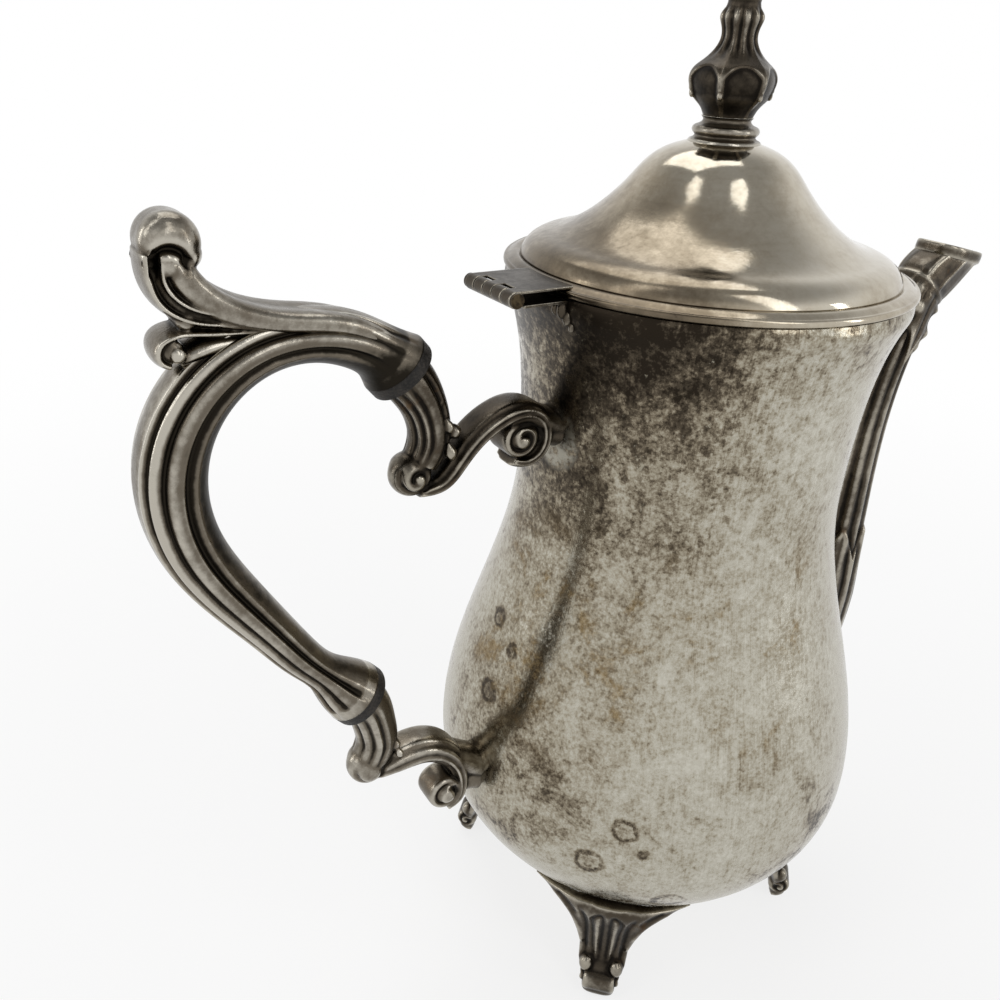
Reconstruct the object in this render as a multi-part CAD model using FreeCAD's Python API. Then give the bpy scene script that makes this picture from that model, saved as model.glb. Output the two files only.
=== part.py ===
import FreeCAD, Part
import math
import os

# A footed silver-plated serving pot with a hinged domed lid, a scroll handle and a cast spout.
# Lengths are in millimetres. The pot stands on z = 0 with its axis on Z, spout to +X, handle to -X.

# Body
belly_radius = 56.7
belly_height = 56.5
neck_radius = 39.6
neck_height = 137.5
shoulder_radius = 45.0
shoulder_height = 180.0
base_radius = 27.0
base_height = 14.5
body_wall = 1.2
bottom_thickness = 1.2
bottom_rise = 2.4
bezel_height = 4.2
bezel_bead = 0.5
mouth_radius = 41.4

# Lid
lid_seat_gap = 0.3
lid_fit_gap = 0.6
lid_rim_radius = 45.9
lid_rim_height = 3.5
lid_rim_bulge = 1.0
dome_edge_radius = 43.2
dome_edge_width = 2.6
dome_rise = 25.0
dome_wall = 1.2
flange_wall = 1.2
flange_depth = 5.5

# Finial on the lid
finial_height = 26.0
finial_bulb_radius = 9.3
finial_lobe_count = 6
finial_base_radius = 7.05
finial_base_height = 4.0
finial_knob_radius = 3.4
stud_radius = 1.5
stud_length_in_finial = 7.0
stud_length_in_lid = 5.0
nut_radius = 3.6
nut_height = 2.4
nut_side_count = 6

# Hinge behind the lid
hinge_setback = 10.7
hinge_rise = 0.7
hinge_width = 17.0
hinge_knuckle_radius = 2.0
hinge_knuckle_count = 5
hinge_knuckle_gap = 0.16
hinge_leaf_thickness = 0.8
hinge_notch_gap = 0.4
hinge_pin_radius = 0.9
hinge_pin_clearance = 0.05
hinge_pin_head_height = 0.5
hinge_pin_head_radius = 1.5

# Spout
spout_root_depth = 6.0
spout_root_height = 64.0
spout_tip_reach = 94.5
spout_tip_height = 181.0
spout_tip_half_depth = 11.5
spout_tip_half_width = 7.2
spout_neck_radius = 7.0
spout_wall = 1.6
spout_lip_radius = 1.1
strainer_hole_radius = 2.0
strainer_pitch = 6.0
strainer_rise = 9.5

# Handle, its two insulating rings and its two sockets
upper_seat_drop = 28.2
upper_ring_reach = 37.7
upper_ring_rise = 20.6
lower_seat_height = 61.0
lower_ring_reach = 31.4
lower_ring_rise = 36.5
ring_radius = 7.2
ring_thickness = 2.6
ring_stud_radius = 1.6
ring_stud_depth = 4.0
grip_reach = 42.2
grip_half_depth = 6.4
grip_half_width = 6.6
knob_radius = 5.2
curl_radius = 2.8
upper_ball_radius = 4.7
upper_volute_radius = 3.9
lower_heel_radius = 4.8
lower_volute_radius = 4.2
socket_half_width = 5.2
seat_pad_radius = 5.6

# Feet
foot_front_radius = 52.0
foot_height = 32.5
foot_leg_half_width = 6.6
foot_wing_half_width = 20.6
foot_wing_thickness = 3.2
foot_toe_thickness = 5.2
foot_volute_radius = 2.2
foot_volute_lift = 0.8
foot_groove_depth = 0.8
foot_groove_half_width = 0.9

# One overrun for all cuts, and one running fit for the studs
overrun = 1.0
stud_fit = 0.05

# Body outline: how far its curves lean and rise between their ends, and how many lie below the seam
base_flare_share = 0.65
base_rise_share = 0.357
belly_lower_share = 0.381
belly_upper_share = 1 / 3
neck_upper_share = 0.47
shoulder_lean_share = 0.26
shoulder_rise_share = 0.79
bowl_stretch_count = 1

# Dome outline: share of the edge radius, share of the rise
dome_shares = [(1.0, 0.0), (0.962, 0.048), (0.894, 0.092), (0.81, 0.148), (0.706, 0.236), (0.602, 0.36),
               (0.519, 0.492), (0.445, 0.636), (0.376, 0.78), (0.3, 0.882), (0.19, 0.957), (0.0, 1.0)]
dome_inner_skip_count = 2

# Finial: share of its height, share of the bulb radius, depth share of its lobes
finial_shares = [(0.0, 0.55, 0.0), (0.06, 0.64, 0.02), (0.14, 0.86, 0.06), (0.21, 0.96, 0.1),
                 (0.28, 1.0, 0.12), (0.35, 0.93, 0.12), (0.41, 0.74, 0.1), (0.48, 0.54, 0.08),
                 (0.577, 0.41, 0.06), (0.66, 0.44, 0.08), (0.723, 0.49, 0.1), (0.79, 0.38, 0.03)]
finial_waist_share = 0.77

# Spout: shares of the way out and up, half depth and half width as shares of the neck, flute depth, corners
spout_shares = [(0.0, 0.0, 2.5, 2.0, 0.03, 0.0), (0.19, 0.02, 2.2, 1.85, 0.04, 0.0),
                (0.331, 0.085, 1.85, 1.6, 0.05, 0.0), (0.418, 0.256, 1.47, 1.35, 0.06, 0.0),
                (0.434, 0.419, 1.24, 1.2, 0.06, 0.0), (0.44, 0.564, 1.13, 1.12, 0.06, 0.0),
                (0.482, 0.706, 1.06, 1.06, 0.05, 0.0), (0.552, 0.808, 1.02, 1.02, 0.05, 0.0),
                (0.7, 0.885, 1.0, 1.02, 0.04, 0.03), (0.85, 0.95, 1.15, 1.03, 0.03, 0.08)]
spout_mouth_corner_share = 0.13
spout_root_angle = 18.0
spout_tip_angle = 68.0

# Handle: shares of the drop between the rings and of the reach, half depth, half width, flute depth
grip_shares = [(-0.043, 0.094, 0.92, 0.97, 0.03), (-0.084, 0.223, 0.84, 0.93, 0.1),
               (-0.114, 0.431, 0.8, 0.94, 0.13), (-0.103, 0.666, 0.86, 0.96, 0.13),
               (-0.033, 0.866, 0.95, 1.0, 0.13), (0.084, 0.982, 1.0, 1.0, 0.13),
               (0.227, 0.998, 1.0, 1.0, 0.13), (0.383, 0.91, 0.95, 0.96, 0.13),
               (0.554, 0.705, 0.85, 0.88, 0.13), (0.684, 0.519, 0.76, 0.8, 0.13),
               (0.809, 0.335, 0.68, 0.74, 0.13), (0.887, 0.203, 0.7, 0.74, 0.1),
               (0.939, 0.114, 0.95, 0.9, 0.04)]
thumb_shares = [(-0.06, 0.05, 0.4, 0.7), (-0.12, 0.22, 0.38, 0.8), (-0.152, 0.4, 0.38, 0.88),
                (-0.165, 0.56, 0.42, 0.9), (-0.19, 0.75, 0.52, 0.9), (-0.232, 0.9, 0.64, 0.86),
                (-0.29, 0.998, 0.68, 0.8), (-0.346, 1.04, 0.62, 0.72)]
leaf_shares = [(-0.14, 0.56, 0.3, 0.7), (-0.17, 0.8, 0.4, 0.72), (-0.16, 0.94, 0.42, 0.66),
               (-0.135, 1.02, 0.36, 0.6)]
knob_place_share = (-0.354, 1.046)
curl_place_share = (-0.124, 1.026)
ring_angle = -49.0

# Sockets: shares of the way from the seat on the body to the ring, half depth, half width, flute depth
upper_arm_shares = [(0.928, 0.837, 0.72, 0.74, 0.08), (0.861, 0.632, 0.66, 0.7, 0.12),
                    (0.822, 0.416, 0.62, 0.68, 0.12), (0.82, 0.177, 0.58, 0.66, 0.1),
                    (0.87, -0.02, 0.5, 0.6, 0.04)]
upper_ball_share = (0.93, -0.13)
upper_strap_shares = [(0.9, -0.3, 0.2, 0.56, 0.0), (0.76, -0.26, 0.32, 0.62, 0.06),
                      (0.65, -0.05, 0.38, 0.66, 0.08), (0.54, 0.17, 0.42, 0.68, 0.08),
                      (0.41, 0.31, 0.44, 0.68, 0.08), (0.28, 0.36, 0.36, 0.68, 0.06),
                      (0.19, 0.25, 0.3, 0.66, 0.04), (0.17, 0.05, 0.26, 0.62, 0.0)]
upper_volute_share = (0.29, 0.081)
lower_arm_shares = [(0.915, 0.88, 0.72, 0.72, 0.08), (0.863, 0.72, 0.68, 0.7, 0.12),
                    (0.85, 0.587, 0.66, 0.68, 0.12), (0.915, 0.453, 0.58, 0.64, 0.04)]
lower_heel_share = (0.935, 0.416)
lower_strap_shares = [(0.88, 0.363, 0.34, 0.56, 0.0), (0.706, 0.389, 0.56, 0.64, 0.08),
                      (0.493, 0.395, 0.62, 0.68, 0.1), (0.314, 0.32, 0.54, 0.68, 0.1),
                      (0.19, 0.173, 0.42, 0.68, 0.06), (0.15, 0.0, 0.32, 0.66, 0.0)]
lower_volute_share = (0.294, -0.037)
roll_edge_share = 1 / 3

# Foot: front outline as shares of the height and of the front radius, then half widths up the leg
foot_front_shares = [(0.0, 0.95), (0.034, 0.985), (0.1, 0.99), (0.295, 0.935), (0.51, 0.925),
                     (0.77, 0.946), (0.92, 0.965), (1.0, 0.96)]
foot_leg_shares = [(0.0, 0.62), (0.1, 0.7), (0.3, 0.95), (0.5, 1.0), (0.75, 1.0), (1.0, 1.0)]
foot_heel_shares = [(0.3, 0.88), (0.55, 0.8)]
foot_inner_share = 0.62
foot_groove_place_share = 0.36

# Foot wing: its hollow lower outline as shares of the height and of its half width
foot_wing_shares = [(0.45, 0.31), (0.646, 0.39), (0.8, 0.515), (0.935, 0.762), (1.0, 1.0)]
foot_directions = {"foot_handle_right": 225.0, "foot_handle_left": 135.0,
                   "foot_spout_left": 45.0, "foot_spout_right": 315.0}

section_ridge_count = 8
x_axis = FreeCAD.Vector(1, 0, 0)
y_axis = FreeCAD.Vector(0, 1, 0)
z_axis = FreeCAD.Vector(0, 0, 1)

# Places that follow from the sizes
rim_height = shoulder_height + bezel_height
upper_seat_height = shoulder_height - upper_seat_drop
lid_bottom = rim_height + lid_seat_gap
dome_bottom = lid_bottom + lid_rim_height
dome_top = dome_bottom + dome_rise
finial_bottom = dome_top + finial_base_height
flange_outer = mouth_radius - lid_fit_gap
flange_inner = flange_outer - flange_wall
hinge_x = -(lid_rim_radius + hinge_setback)
hinge_z = lid_bottom + hinge_rise
knuckle_length = hinge_width / hinge_knuckle_count


def point(x, z):
    return FreeCAD.Vector(x, 0, z)


def bezier(*poles):
    curve = Part.BezierCurve()
    curve.setPoles([point(r, z) for r, z in poles])
    return curve


def smooth_edge(points):
    curve = Part.BSplineCurve()
    curve.interpolate(points)
    return curve.toShape()


def smooth_ring(points):
    """A closed outline through the points, evenly spaced in its parameter so that sections match."""
    curve = Part.BSplineCurve()
    curve.interpolate(points, PeriodicFlag=True, Parameters=list(range(len(points) + 1)))
    return Part.Wire(curve.toShape())


def line(*corners):
    return [Part.LineSegment(a, b).toShape() for a, b in zip(corners, corners[1:])]


def face_of(edges):
    return Part.Face(Part.Wire(Part.__sortEdges__(edges)))


def turned(edges):
    """Solid of revolution about Z from the edges of one closed outline."""
    return face_of(edges).revolve(FreeCAD.Vector(), z_axis, 360)


def loft(sections):
    """Smooth cubic solid through matching closed sections."""
    return Part.makeLoft(sections, True, False, False, 3)


def one_piece(shape):
    """The largest solid of a cut, without the slivers that the cut leaves."""
    return max(shape.Solids, key=lambda solid: solid.Volume)


def body_curves(inset):
    """The three stretches of the body's outline, moved in towards the axis by the inset."""
    base = base_radius - inset
    belly = belly_radius - inset
    neck = neck_radius - inset
    shoulder = shoulder_radius - inset
    lower_span = belly_height - base_height
    middle_span = neck_height - belly_height
    upper_span = shoulder_height - neck_height
    lower = bezier((base, base_height),
                   (base + base_flare_share * (belly - base), base_height + base_rise_share * lower_span),
                   (belly, belly_height - belly_lower_share * lower_span),
                   (belly, belly_height))
    middle = bezier((belly, belly_height),
                    (belly, belly_height + belly_upper_share * middle_span),
                    (neck, neck_height - belly_upper_share * middle_span),
                    (neck, neck_height))
    upper = bezier((neck, neck_height),
                   (neck, neck_height + neck_upper_share * upper_span),
                   (neck + shoulder_lean_share * (shoulder - neck),
                    neck_height + shoulder_rise_share * upper_span),
                   (shoulder, shoulder_height))
    return [lower, middle, upper]


def body_radius_at(height):
    """Outer radius of the body at a height, found by halving along its outline."""
    for curve in body_curves(0):
        if curve.value(1).z >= height:
            low = 0
            high = 1
            for _ in range(40):
                middle = (low + high) / 2
                if curve.value(middle).z < height:
                    low = middle
                else:
                    high = middle
            return curve.value(low).x
    return shoulder_radius


def body_core(swell):
    """The body's outer form as one full solid, swollen outwards, used to seat what is soldered on it."""
    curves = [curve.toShape() for curve in body_curves(-swell)]
    return turned(curves + line(point(shoulder_radius + swell, shoulder_height), point(0, shoulder_height),
                                point(0, base_height), point(base_radius + swell, base_height)))


def strainer_holes():
    """Three rows of pouring holes through the wall behind the spout."""
    holes = []
    for row, count in ((-1, 2), (0, 3), (1, 2)):
        for column in range(count):
            y = (column - (count - 1) / 2) * strainer_pitch
            z = belly_height + strainer_rise + row * strainer_pitch
            start = FreeCAD.Vector(belly_radius / 2, y, z)
            holes.append(Part.makeCylinder(strainer_hole_radius, belly_radius, start, x_axis))
    return Part.makeCompound(holes)


def body_part(outer, inner):
    """A turned wall between matching stretches of the outer and inner outline, with level ends."""
    edges = [curve.toShape() for curve in outer + inner]
    edges += line(outer[0].value(0), inner[0].value(0)) + line(outer[-1].value(1), inner[-1].value(1))
    return turned(edges)


def body_bowl():
    """The lower half of the body, up to the seam at its widest line."""
    return body_part(body_curves(0)[:bowl_stretch_count], body_curves(body_wall)[:bowl_stretch_count])


def body_shell():
    """The upper half of the body, from the seam to the shoulder, with the pouring holes."""
    upper = body_part(body_curves(0)[bowl_stretch_count:], body_curves(body_wall)[bowl_stretch_count:])
    return upper.cut(strainer_holes())


def body_bottom():
    """A dished disc under the open lower end of the bowl."""
    low = base_height - bottom_thickness
    seat = base_radius - body_wall
    faces = []
    for level in (low, base_height):
        dish = bezier((seat, level), (seat / 2, level + bottom_rise), (0, level + bottom_rise))
        faces.append(dish.toShape())
    edges = faces + line(point(0, low + bottom_rise), point(0, base_height + bottom_rise))
    edges += line(point(seat, low), point(base_radius, low), point(base_radius, base_height),
                  point(seat, base_height))
    return turned(edges)


def mouth_bezel():
    """The stiff ring on top of the shell that the lid rests on."""
    bead = Part.Arc(point(shoulder_radius, shoulder_height),
                    point(shoulder_radius + bezel_bead, shoulder_height + bezel_height / 2),
                    point(shoulder_radius, rim_height)).toShape()
    return turned([bead] + line(point(shoulder_radius, rim_height), point(mouth_radius, rim_height),
                                point(mouth_radius, shoulder_height),
                                point(shoulder_radius, shoulder_height)))


def lid_rim():
    """The beaded ring round the lid's edge."""
    foot = lid_rim_radius - lid_rim_bulge
    bead = Part.Arc(point(foot, lid_bottom), point(lid_rim_radius, lid_bottom + lid_rim_height / 2),
                    point(foot, dome_bottom)).toShape()
    return turned([bead] + line(point(foot, dome_bottom), point(flange_inner, dome_bottom),
                                point(flange_inner, lid_bottom), point(foot, lid_bottom)))


def lid_flange():
    """The collar under the lid that centres it in the mouth."""
    low = lid_bottom - flange_depth
    return turned(line(point(flange_inner, low), point(flange_outer, low), point(flange_outer, lid_bottom),
                       point(flange_inner, lid_bottom), point(flange_inner, low)))


def dome_edge(sink):
    """The dome's outline, or its inner face when sunk by the wall."""
    rows = dome_shares[dome_inner_skip_count:] if sink else dome_shares
    edge = dome_edge_radius - sink
    points = [point(edge * across, dome_bottom + dome_rise * up - sink) for across, up in rows]
    if sink:
        points.insert(0, point(dome_edge_radius - dome_edge_width, dome_bottom))
    return smooth_edge(points)


def dome_core():
    """The lid's outer form as one full solid, used to seat the finial."""
    return turned([dome_edge(0)] + line(point(0, dome_top), point(0, dome_bottom),
                                        point(dome_edge_radius, dome_bottom)))


def stud_bore():
    height = finial_bottom + stud_length_in_finial - dome_bottom
    return Part.makeCylinder(stud_radius + stud_fit, height, point(0, dome_bottom))


def lid_dome():
    edges = [dome_edge(0), dome_edge(dome_wall)]
    edges += line(point(0, dome_top), point(0, dome_top - dome_wall))
    edges += line(point(dome_edge_radius, dome_bottom),
                  point(dome_edge_radius - dome_edge_width, dome_bottom))
    return turned(edges).cut(stud_bore())


def finial_base():
    """The turned spool between the dome and the finial."""
    waist = finial_base_radius * finial_waist_share
    low = dome_bottom + dome_rise / 2
    middle = dome_top + finial_base_height / 2
    swell = bezier((finial_base_radius, dome_top), (finial_base_radius, middle), (waist, middle),
                   (waist, finial_bottom)).toShape()
    edges = [swell] + line(point(waist, finial_bottom), point(0, finial_bottom), point(0, low),
                           point(finial_base_radius, low), point(finial_base_radius, dome_top))
    return turned(edges).cut(dome_core()).cut(stud_bore())


def lobed_ring(height, radius, lobe_share):
    """A closed level outline with the finial's lobes."""
    points = []
    for step in range(2 * finial_lobe_count):
        angle = math.pi * step / finial_lobe_count
        reach = radius * (1 - lobe_share * (step % 2))
        points.append(FreeCAD.Vector(reach * math.cos(angle), reach * math.sin(angle), height))
    return smooth_ring(points)


def finial():
    """The lobed bud with its fluted neck, top collar and small knob."""
    rings = [lobed_ring(finial_bottom + finial_height * up, finial_bulb_radius * across, lobe)
             for up, across, lobe in finial_shares]
    knob = ball(point(0, finial_bottom + finial_height - finial_knob_radius), finial_knob_radius)
    return loft(rings).fuse(knob).cut(stud_bore())


def finial_stud():
    low = dome_top - stud_length_in_lid
    return Part.makeCylinder(stud_radius, finial_bottom + stud_length_in_finial - low, point(0, low))


def finial_nut():
    """The nut inside the dome, drawn up against its inner face."""
    low = dome_top - dome_wall - nut_height
    corners = [FreeCAD.Vector(nut_radius * math.cos(2 * math.pi * side / nut_side_count),
                              nut_radius * math.sin(2 * math.pi * side / nut_side_count), low)
               for side in range(nut_side_count + 1)]
    prism = Part.Face(Part.Wire(line(*corners))).extrude(point(0, nut_height))
    bore = Part.makeCylinder(stud_radius + stud_fit, nut_height + 2 * overrun, point(0, low - overrun))
    return prism.cut(bore).cut(lid_dome())


def hinge_cylinder(radius, start, end):
    return Part.makeCylinder(radius, end - start, FreeCAD.Vector(hinge_x, start, hinge_z), y_axis)


def hinge_leaf(first_knuckle, plate_low, reach):
    """A plate whose rolled knuckles start at the given one and take every second place."""
    leaf = Part.makeBox(reach, hinge_width, hinge_leaf_thickness,
                        FreeCAD.Vector(hinge_x, -hinge_width / 2, plate_low))
    for knuckle in range(hinge_knuckle_count):
        start = -hinge_width / 2 + knuckle * knuckle_length
        if knuckle % 2 == first_knuckle:
            leaf = leaf.fuse(hinge_cylinder(hinge_knuckle_radius, start + hinge_knuckle_gap / 2,
                                            start + knuckle_length - hinge_knuckle_gap / 2))
        else:
            leaf = leaf.cut(hinge_cylinder(hinge_knuckle_radius + hinge_notch_gap,
                                           start - hinge_knuckle_gap / 2,
                                           start + knuckle_length + hinge_knuckle_gap / 2))
    bore = hinge_cylinder(hinge_pin_radius + hinge_pin_clearance, -hinge_width, hinge_width)
    return leaf.cut(bore).removeSplitter()


def lid_hinge_leaf():
    """The upper leaf, soldered to the side of the lid's rim, with the outer knuckles."""
    low = hinge_z + hinge_knuckle_radius - hinge_leaf_thickness
    rim_core = Part.makeCylinder(flange_outer, lid_rim_height, point(0, lid_bottom))
    return hinge_leaf(0, low, hinge_setback * 2).cut(rim_core).cut(lid_rim())


def body_hinge_leaf():
    """The lower leaf, soldered to the side of the bezel, with the inner knuckles."""
    low = hinge_z - hinge_knuckle_radius
    bezel_core = Part.makeCylinder(shoulder_radius, bezel_height, point(0, shoulder_height))
    return hinge_leaf(1, low, hinge_setback * 2).cut(bezel_core).cut(mouth_bezel())


def hinge_pin():
    half = hinge_width / 2
    shaft = hinge_cylinder(hinge_pin_radius, -half, half)
    near_head = hinge_cylinder(hinge_pin_head_radius, -half - hinge_pin_head_height, -half)
    far_head = hinge_cylinder(hinge_pin_head_radius, half, half + hinge_pin_head_height)
    return shaft.fuse([near_head, far_head]).removeSplitter()


def section(centre, angle, half_depth, half_width, flute_share, corner_share=0):
    """A closed outline square to a path at this angle in the XZ plane, fluted or drawn out to corners."""
    across = point(-math.sin(angle), math.cos(angle))
    points = []
    for step in range(2 * section_ridge_count):
        turn = math.pi * step / section_ridge_count
        corner = math.sin(2 * turn) ** 2
        reach = 1 - flute_share * (step % 2) + corner_share * corner
        points.append(centre + across * (half_depth * reach * math.cos(turn))
                      + y_axis * (half_width * reach * math.sin(turn)))
    return smooth_ring(points)


def swept(stations, first_angle=None, last_angle=None):
    """Smooth solid through stations of place, half depth, half width, flute depth and any corners."""
    places = [station[0] for station in stations]
    sections = []
    for index, (centre, *sizes) in enumerate(stations):
        before = places[max(index - 1, 0)]
        after = places[min(index + 1, len(places) - 1)]
        angle = math.atan2(after.z - before.z, after.x - before.x)
        if index == 0 and first_angle is not None:
            angle = first_angle
        if index == len(places) - 1 and last_angle is not None:
            angle = last_angle
        sections.append(section(centre, angle, *sizes))
    return loft(sections)


def roll(centre, radius, half_width):
    """A rolled end lying along Y with softly rounded edges."""
    start = centre - y_axis * half_width
    cylinder = Part.makeCylinder(radius, 2 * half_width, start, y_axis)
    rims = [edge for edge in cylinder.Edges if edge.Closed and len(edge.Vertexes) == 1]
    return cylinder.makeFillet(min(radius, half_width) * roll_edge_share, rims)


def ball(centre, radius):
    return Part.makeSphere(radius, centre)


def upper_seat():
    return point(-body_radius_at(upper_seat_height), upper_seat_height)


def lower_seat():
    return point(-body_radius_at(lower_seat_height), lower_seat_height)


def upper_ring_centre():
    return upper_seat() + point(-upper_ring_reach, upper_ring_rise)


def lower_ring_centre():
    return lower_seat() + point(-lower_ring_reach, lower_ring_rise)


def ring_direction():
    """From the grip through a ring towards its socket."""
    angle = math.radians(ring_angle)
    return point(math.cos(angle), math.sin(angle))


def handle_point(drop_share, reach_share):
    upper = upper_ring_centre()
    lower = lower_ring_centre()
    return upper + (lower - upper) * drop_share + point(-grip_reach * reach_share, 0)


def socket_point(seat, ring, along_share, rise_share):
    return point(seat.x + (ring.x - seat.x) * along_share, seat.z + (ring.z - seat.z) * rise_share)


def ring_stud(centre, radius):
    """The stud through an insulating ring into the castings on both sides."""
    length = ring_thickness + 2 * ring_stud_depth
    return Part.makeCylinder(radius, length, centre - ring_direction() * (length / 2), ring_direction())


def insulator(centre):
    disc = Part.makeCylinder(ring_radius, ring_thickness, centre - ring_direction() * (ring_thickness / 2),
                             ring_direction())
    return disc.cut(ring_stud(centre, ring_stud_radius + stud_fit))


def handle_grip():
    """The fluted scroll between the two rings, flared into a collar at each end."""
    backward = math.pi + math.radians(ring_angle)
    half_ring = ring_direction() * (ring_thickness / 2)
    stations = [(upper_ring_centre() - half_ring, ring_radius, ring_radius, 0)]
    for drop, reach, depth, width, flute in grip_shares:
        stations.append((handle_point(drop, reach), grip_half_depth * depth, grip_half_width * width, flute))
    stations.append((lower_ring_centre() - half_ring, ring_radius, ring_radius, 0))
    grip = swept(stations, backward, math.radians(ring_angle))
    for centre in (upper_ring_centre(), lower_ring_centre()):
        grip = grip.cut(ring_stud(centre, ring_stud_radius + stud_fit))
    return grip


def grip_strap(shares):
    return swept([(handle_point(drop, reach), grip_half_depth * depth, grip_half_width * width, 0)
                  for drop, reach, depth, width in shares])


def thumb_scroll():
    """The strap on top of the grip that rises into the thumb knob, with the leaf curl under it."""
    knob = roll(handle_point(*knob_place_share), knob_radius, grip_half_width * thumb_shares[-1][-1])
    curl = roll(handle_point(*curl_place_share), curl_radius, grip_half_width * leaf_shares[-1][-1])
    whole = grip_strap(thumb_shares).fuse([knob, grip_strap(leaf_shares), curl])
    return one_piece(whole.cut(handle_grip()))


def socket_stations(seat, ring, shares):
    return [(socket_point(seat, ring, along, rise), ring_radius * depth, ring_radius * width, flute)
            for along, rise, depth, width, flute in shares]


def socket(seat, ring, arm_shares, strap_shares, ball_share, ball_size, volute_share, volute_size):
    """A fluted arm below a ring, its rolled tip, and the scroll strap that carries it on the body."""
    half_ring = ring_direction() * (ring_thickness / 2)
    arm_start = (ring + half_ring, ring_radius * arm_shares[0][2], ring_radius * arm_shares[0][3], 0)
    arm = swept([arm_start] + socket_stations(seat, ring, arm_shares), math.radians(ring_angle))
    strap = swept(socket_stations(seat, ring, strap_shares))
    tip = ball(socket_point(seat, ring, *ball_share), ball_size)
    volute_centre = socket_point(seat, ring, *volute_share)
    volute = roll(volute_centre, volute_size, socket_half_width)
    pad = Part.makeCylinder(seat_pad_radius, seat.x - volute_centre.x + overrun, volute_centre, x_axis)
    whole = arm.fuse([strap, tip, volute, pad])
    return one_piece(whole.cut(ring_stud(ring, ring_stud_radius + stud_fit)).cut(body_core(0)))


def upper_socket():
    return socket(upper_seat(), upper_ring_centre(), upper_arm_shares, upper_strap_shares,
                  upper_ball_share, upper_ball_radius, upper_volute_share, upper_volute_radius)


def lower_socket():
    return socket(lower_seat(), lower_ring_centre(), lower_arm_shares, lower_strap_shares,
                  lower_heel_share, lower_heel_radius, lower_volute_share, lower_volute_radius)


def spout_stations(inset, flute_factor):
    """Places and half sizes of the spout's sections, drawn in by the inset."""
    root = point(belly_radius - spout_root_depth, spout_root_height)
    tip = point(spout_tip_reach, spout_tip_height)
    stations = []
    for out, up, depth, width, flute, corner in spout_shares:
        centre = point(root.x + (tip.x - root.x) * out, root.z + (tip.z - root.z) * up)
        stations.append((centre, spout_neck_radius * depth - inset, spout_neck_radius * width - inset,
                         flute * flute_factor, corner))
    stations.append((tip, spout_tip_half_depth - inset, spout_tip_half_width - inset, 0,
                     spout_mouth_corner_share))
    return stations


def spout_solid(inset, flute_factor):
    stations = spout_stations(inset, flute_factor)
    return swept(stations, math.radians(spout_root_angle), math.radians(spout_tip_angle))


def spout():
    """The hollow fluted swan-neck spout, seated on the belly, with a plain round bore."""
    return one_piece(spout_solid(0, 1).cut(spout_solid(spout_wall, 0)).cut(body_core(0)))


def spout_lip():
    """The rolled band round the spout's mouth."""
    angle = math.radians(spout_tip_angle)
    along = point(math.cos(angle), math.sin(angle))
    rolled = []
    for rise, swell in ((0, 0), (spout_lip_radius, spout_lip_radius), (2 * spout_lip_radius, 0)):
        tip, *sizes = spout_stations(-swell, 0)[-1]
        rolled.append(section(tip + along * rise, angle, *sizes))
    tip, *sizes = spout_stations(spout_wall, 0)[-1]
    bore = loft([section(tip + along * rise, angle, *sizes)
                 for rise in (-overrun, 2 * spout_lip_radius + overrun)])
    return loft(rolled).cut(bore)


def foot_slab(edges):
    """A slab from the axis outwards with the given outline across the foot."""
    return face_of(edges).extrude(point(belly_radius + foot_front_radius, 0))


def foot_front(offset):
    return [point(foot_front_radius * out + offset, foot_height * up) for up, out in foot_front_shares]


def foot_band(deep, proud):
    """A turned ring between two outlines that run up the front of the foot."""
    return turned([smooth_edge(deep), smooth_edge(proud)]
                  + line(deep[0], proud[0]) + line(deep[-1], proud[-1]))


def foot_leg():
    """The cabriole leg, cut from a turned ring by its own front outline, with two grooves down it."""
    front = foot_front(0)
    heel = [point(foot_front_radius * out, foot_height * up) for up, out in foot_heel_shares]
    heel_start = point(foot_front_radius - foot_toe_thickness, 0)
    inner_low = point(foot_front_radius * foot_inner_share, foot_height * foot_heel_shares[-1][0])
    inner_top = point(inner_low.x, foot_height)
    ring = turned([smooth_edge(front), smooth_edge([heel_start] + heel + [inner_low])]
                  + line(front[-1], inner_top, inner_low) + line(heel_start, front[0]))
    right = [FreeCAD.Vector(0, foot_leg_half_width * width, foot_height * up)
             for up, width in foot_leg_shares]
    left = [FreeCAD.Vector(0, -corner.y, corner.z) for corner in right]
    leg = ring.common(foot_slab([smooth_edge(right), smooth_edge(left)]
                                + line(right[0], left[0]) + line(right[-1], left[-1])))
    band = foot_band(foot_front(-foot_groove_depth), foot_front(overrun))
    for side in (-1, 1):
        groove_y = side * foot_leg_half_width * foot_groove_place_share
        groove = Part.makeBox(belly_radius + foot_front_radius, 2 * foot_groove_half_width, foot_height,
                              FreeCAD.Vector(0, groove_y - foot_groove_half_width, 2 * foot_volute_radius))
        leg = leg.cut(band.common(groove))
    return leg


def foot_wing():
    """One wing that sweeps from the leg up to the belly in a hollow curve."""
    outline = [FreeCAD.Vector(0, foot_wing_half_width * width, foot_height * up)
               for up, width in foot_wing_shares]
    low, high = outline[0], outline[-1]
    edges = [smooth_edge(outline)] + line(high, point(0, high.z), point(0, low.z), low)
    return foot_band(foot_front(-foot_wing_thickness), foot_front(0)).common(foot_slab(edges))


def foot():
    """One cast foot towards +X: leg, wings and two small toe volutes."""
    wing = foot_wing()
    pieces = [wing, wing.mirror(FreeCAD.Vector(), y_axis)]
    for side in (-1, 1):
        start = FreeCAD.Vector(foot_front_radius - foot_toe_thickness,
                               side * foot_leg_half_width * foot_leg_shares[0][1],
                               foot_volute_radius + foot_volute_lift)
        pieces.append(Part.makeCylinder(foot_volute_radius, foot_toe_thickness + overrun, start, x_axis))
    return one_piece(foot_leg().fuse(pieces).cut(body_core(0)))


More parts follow.
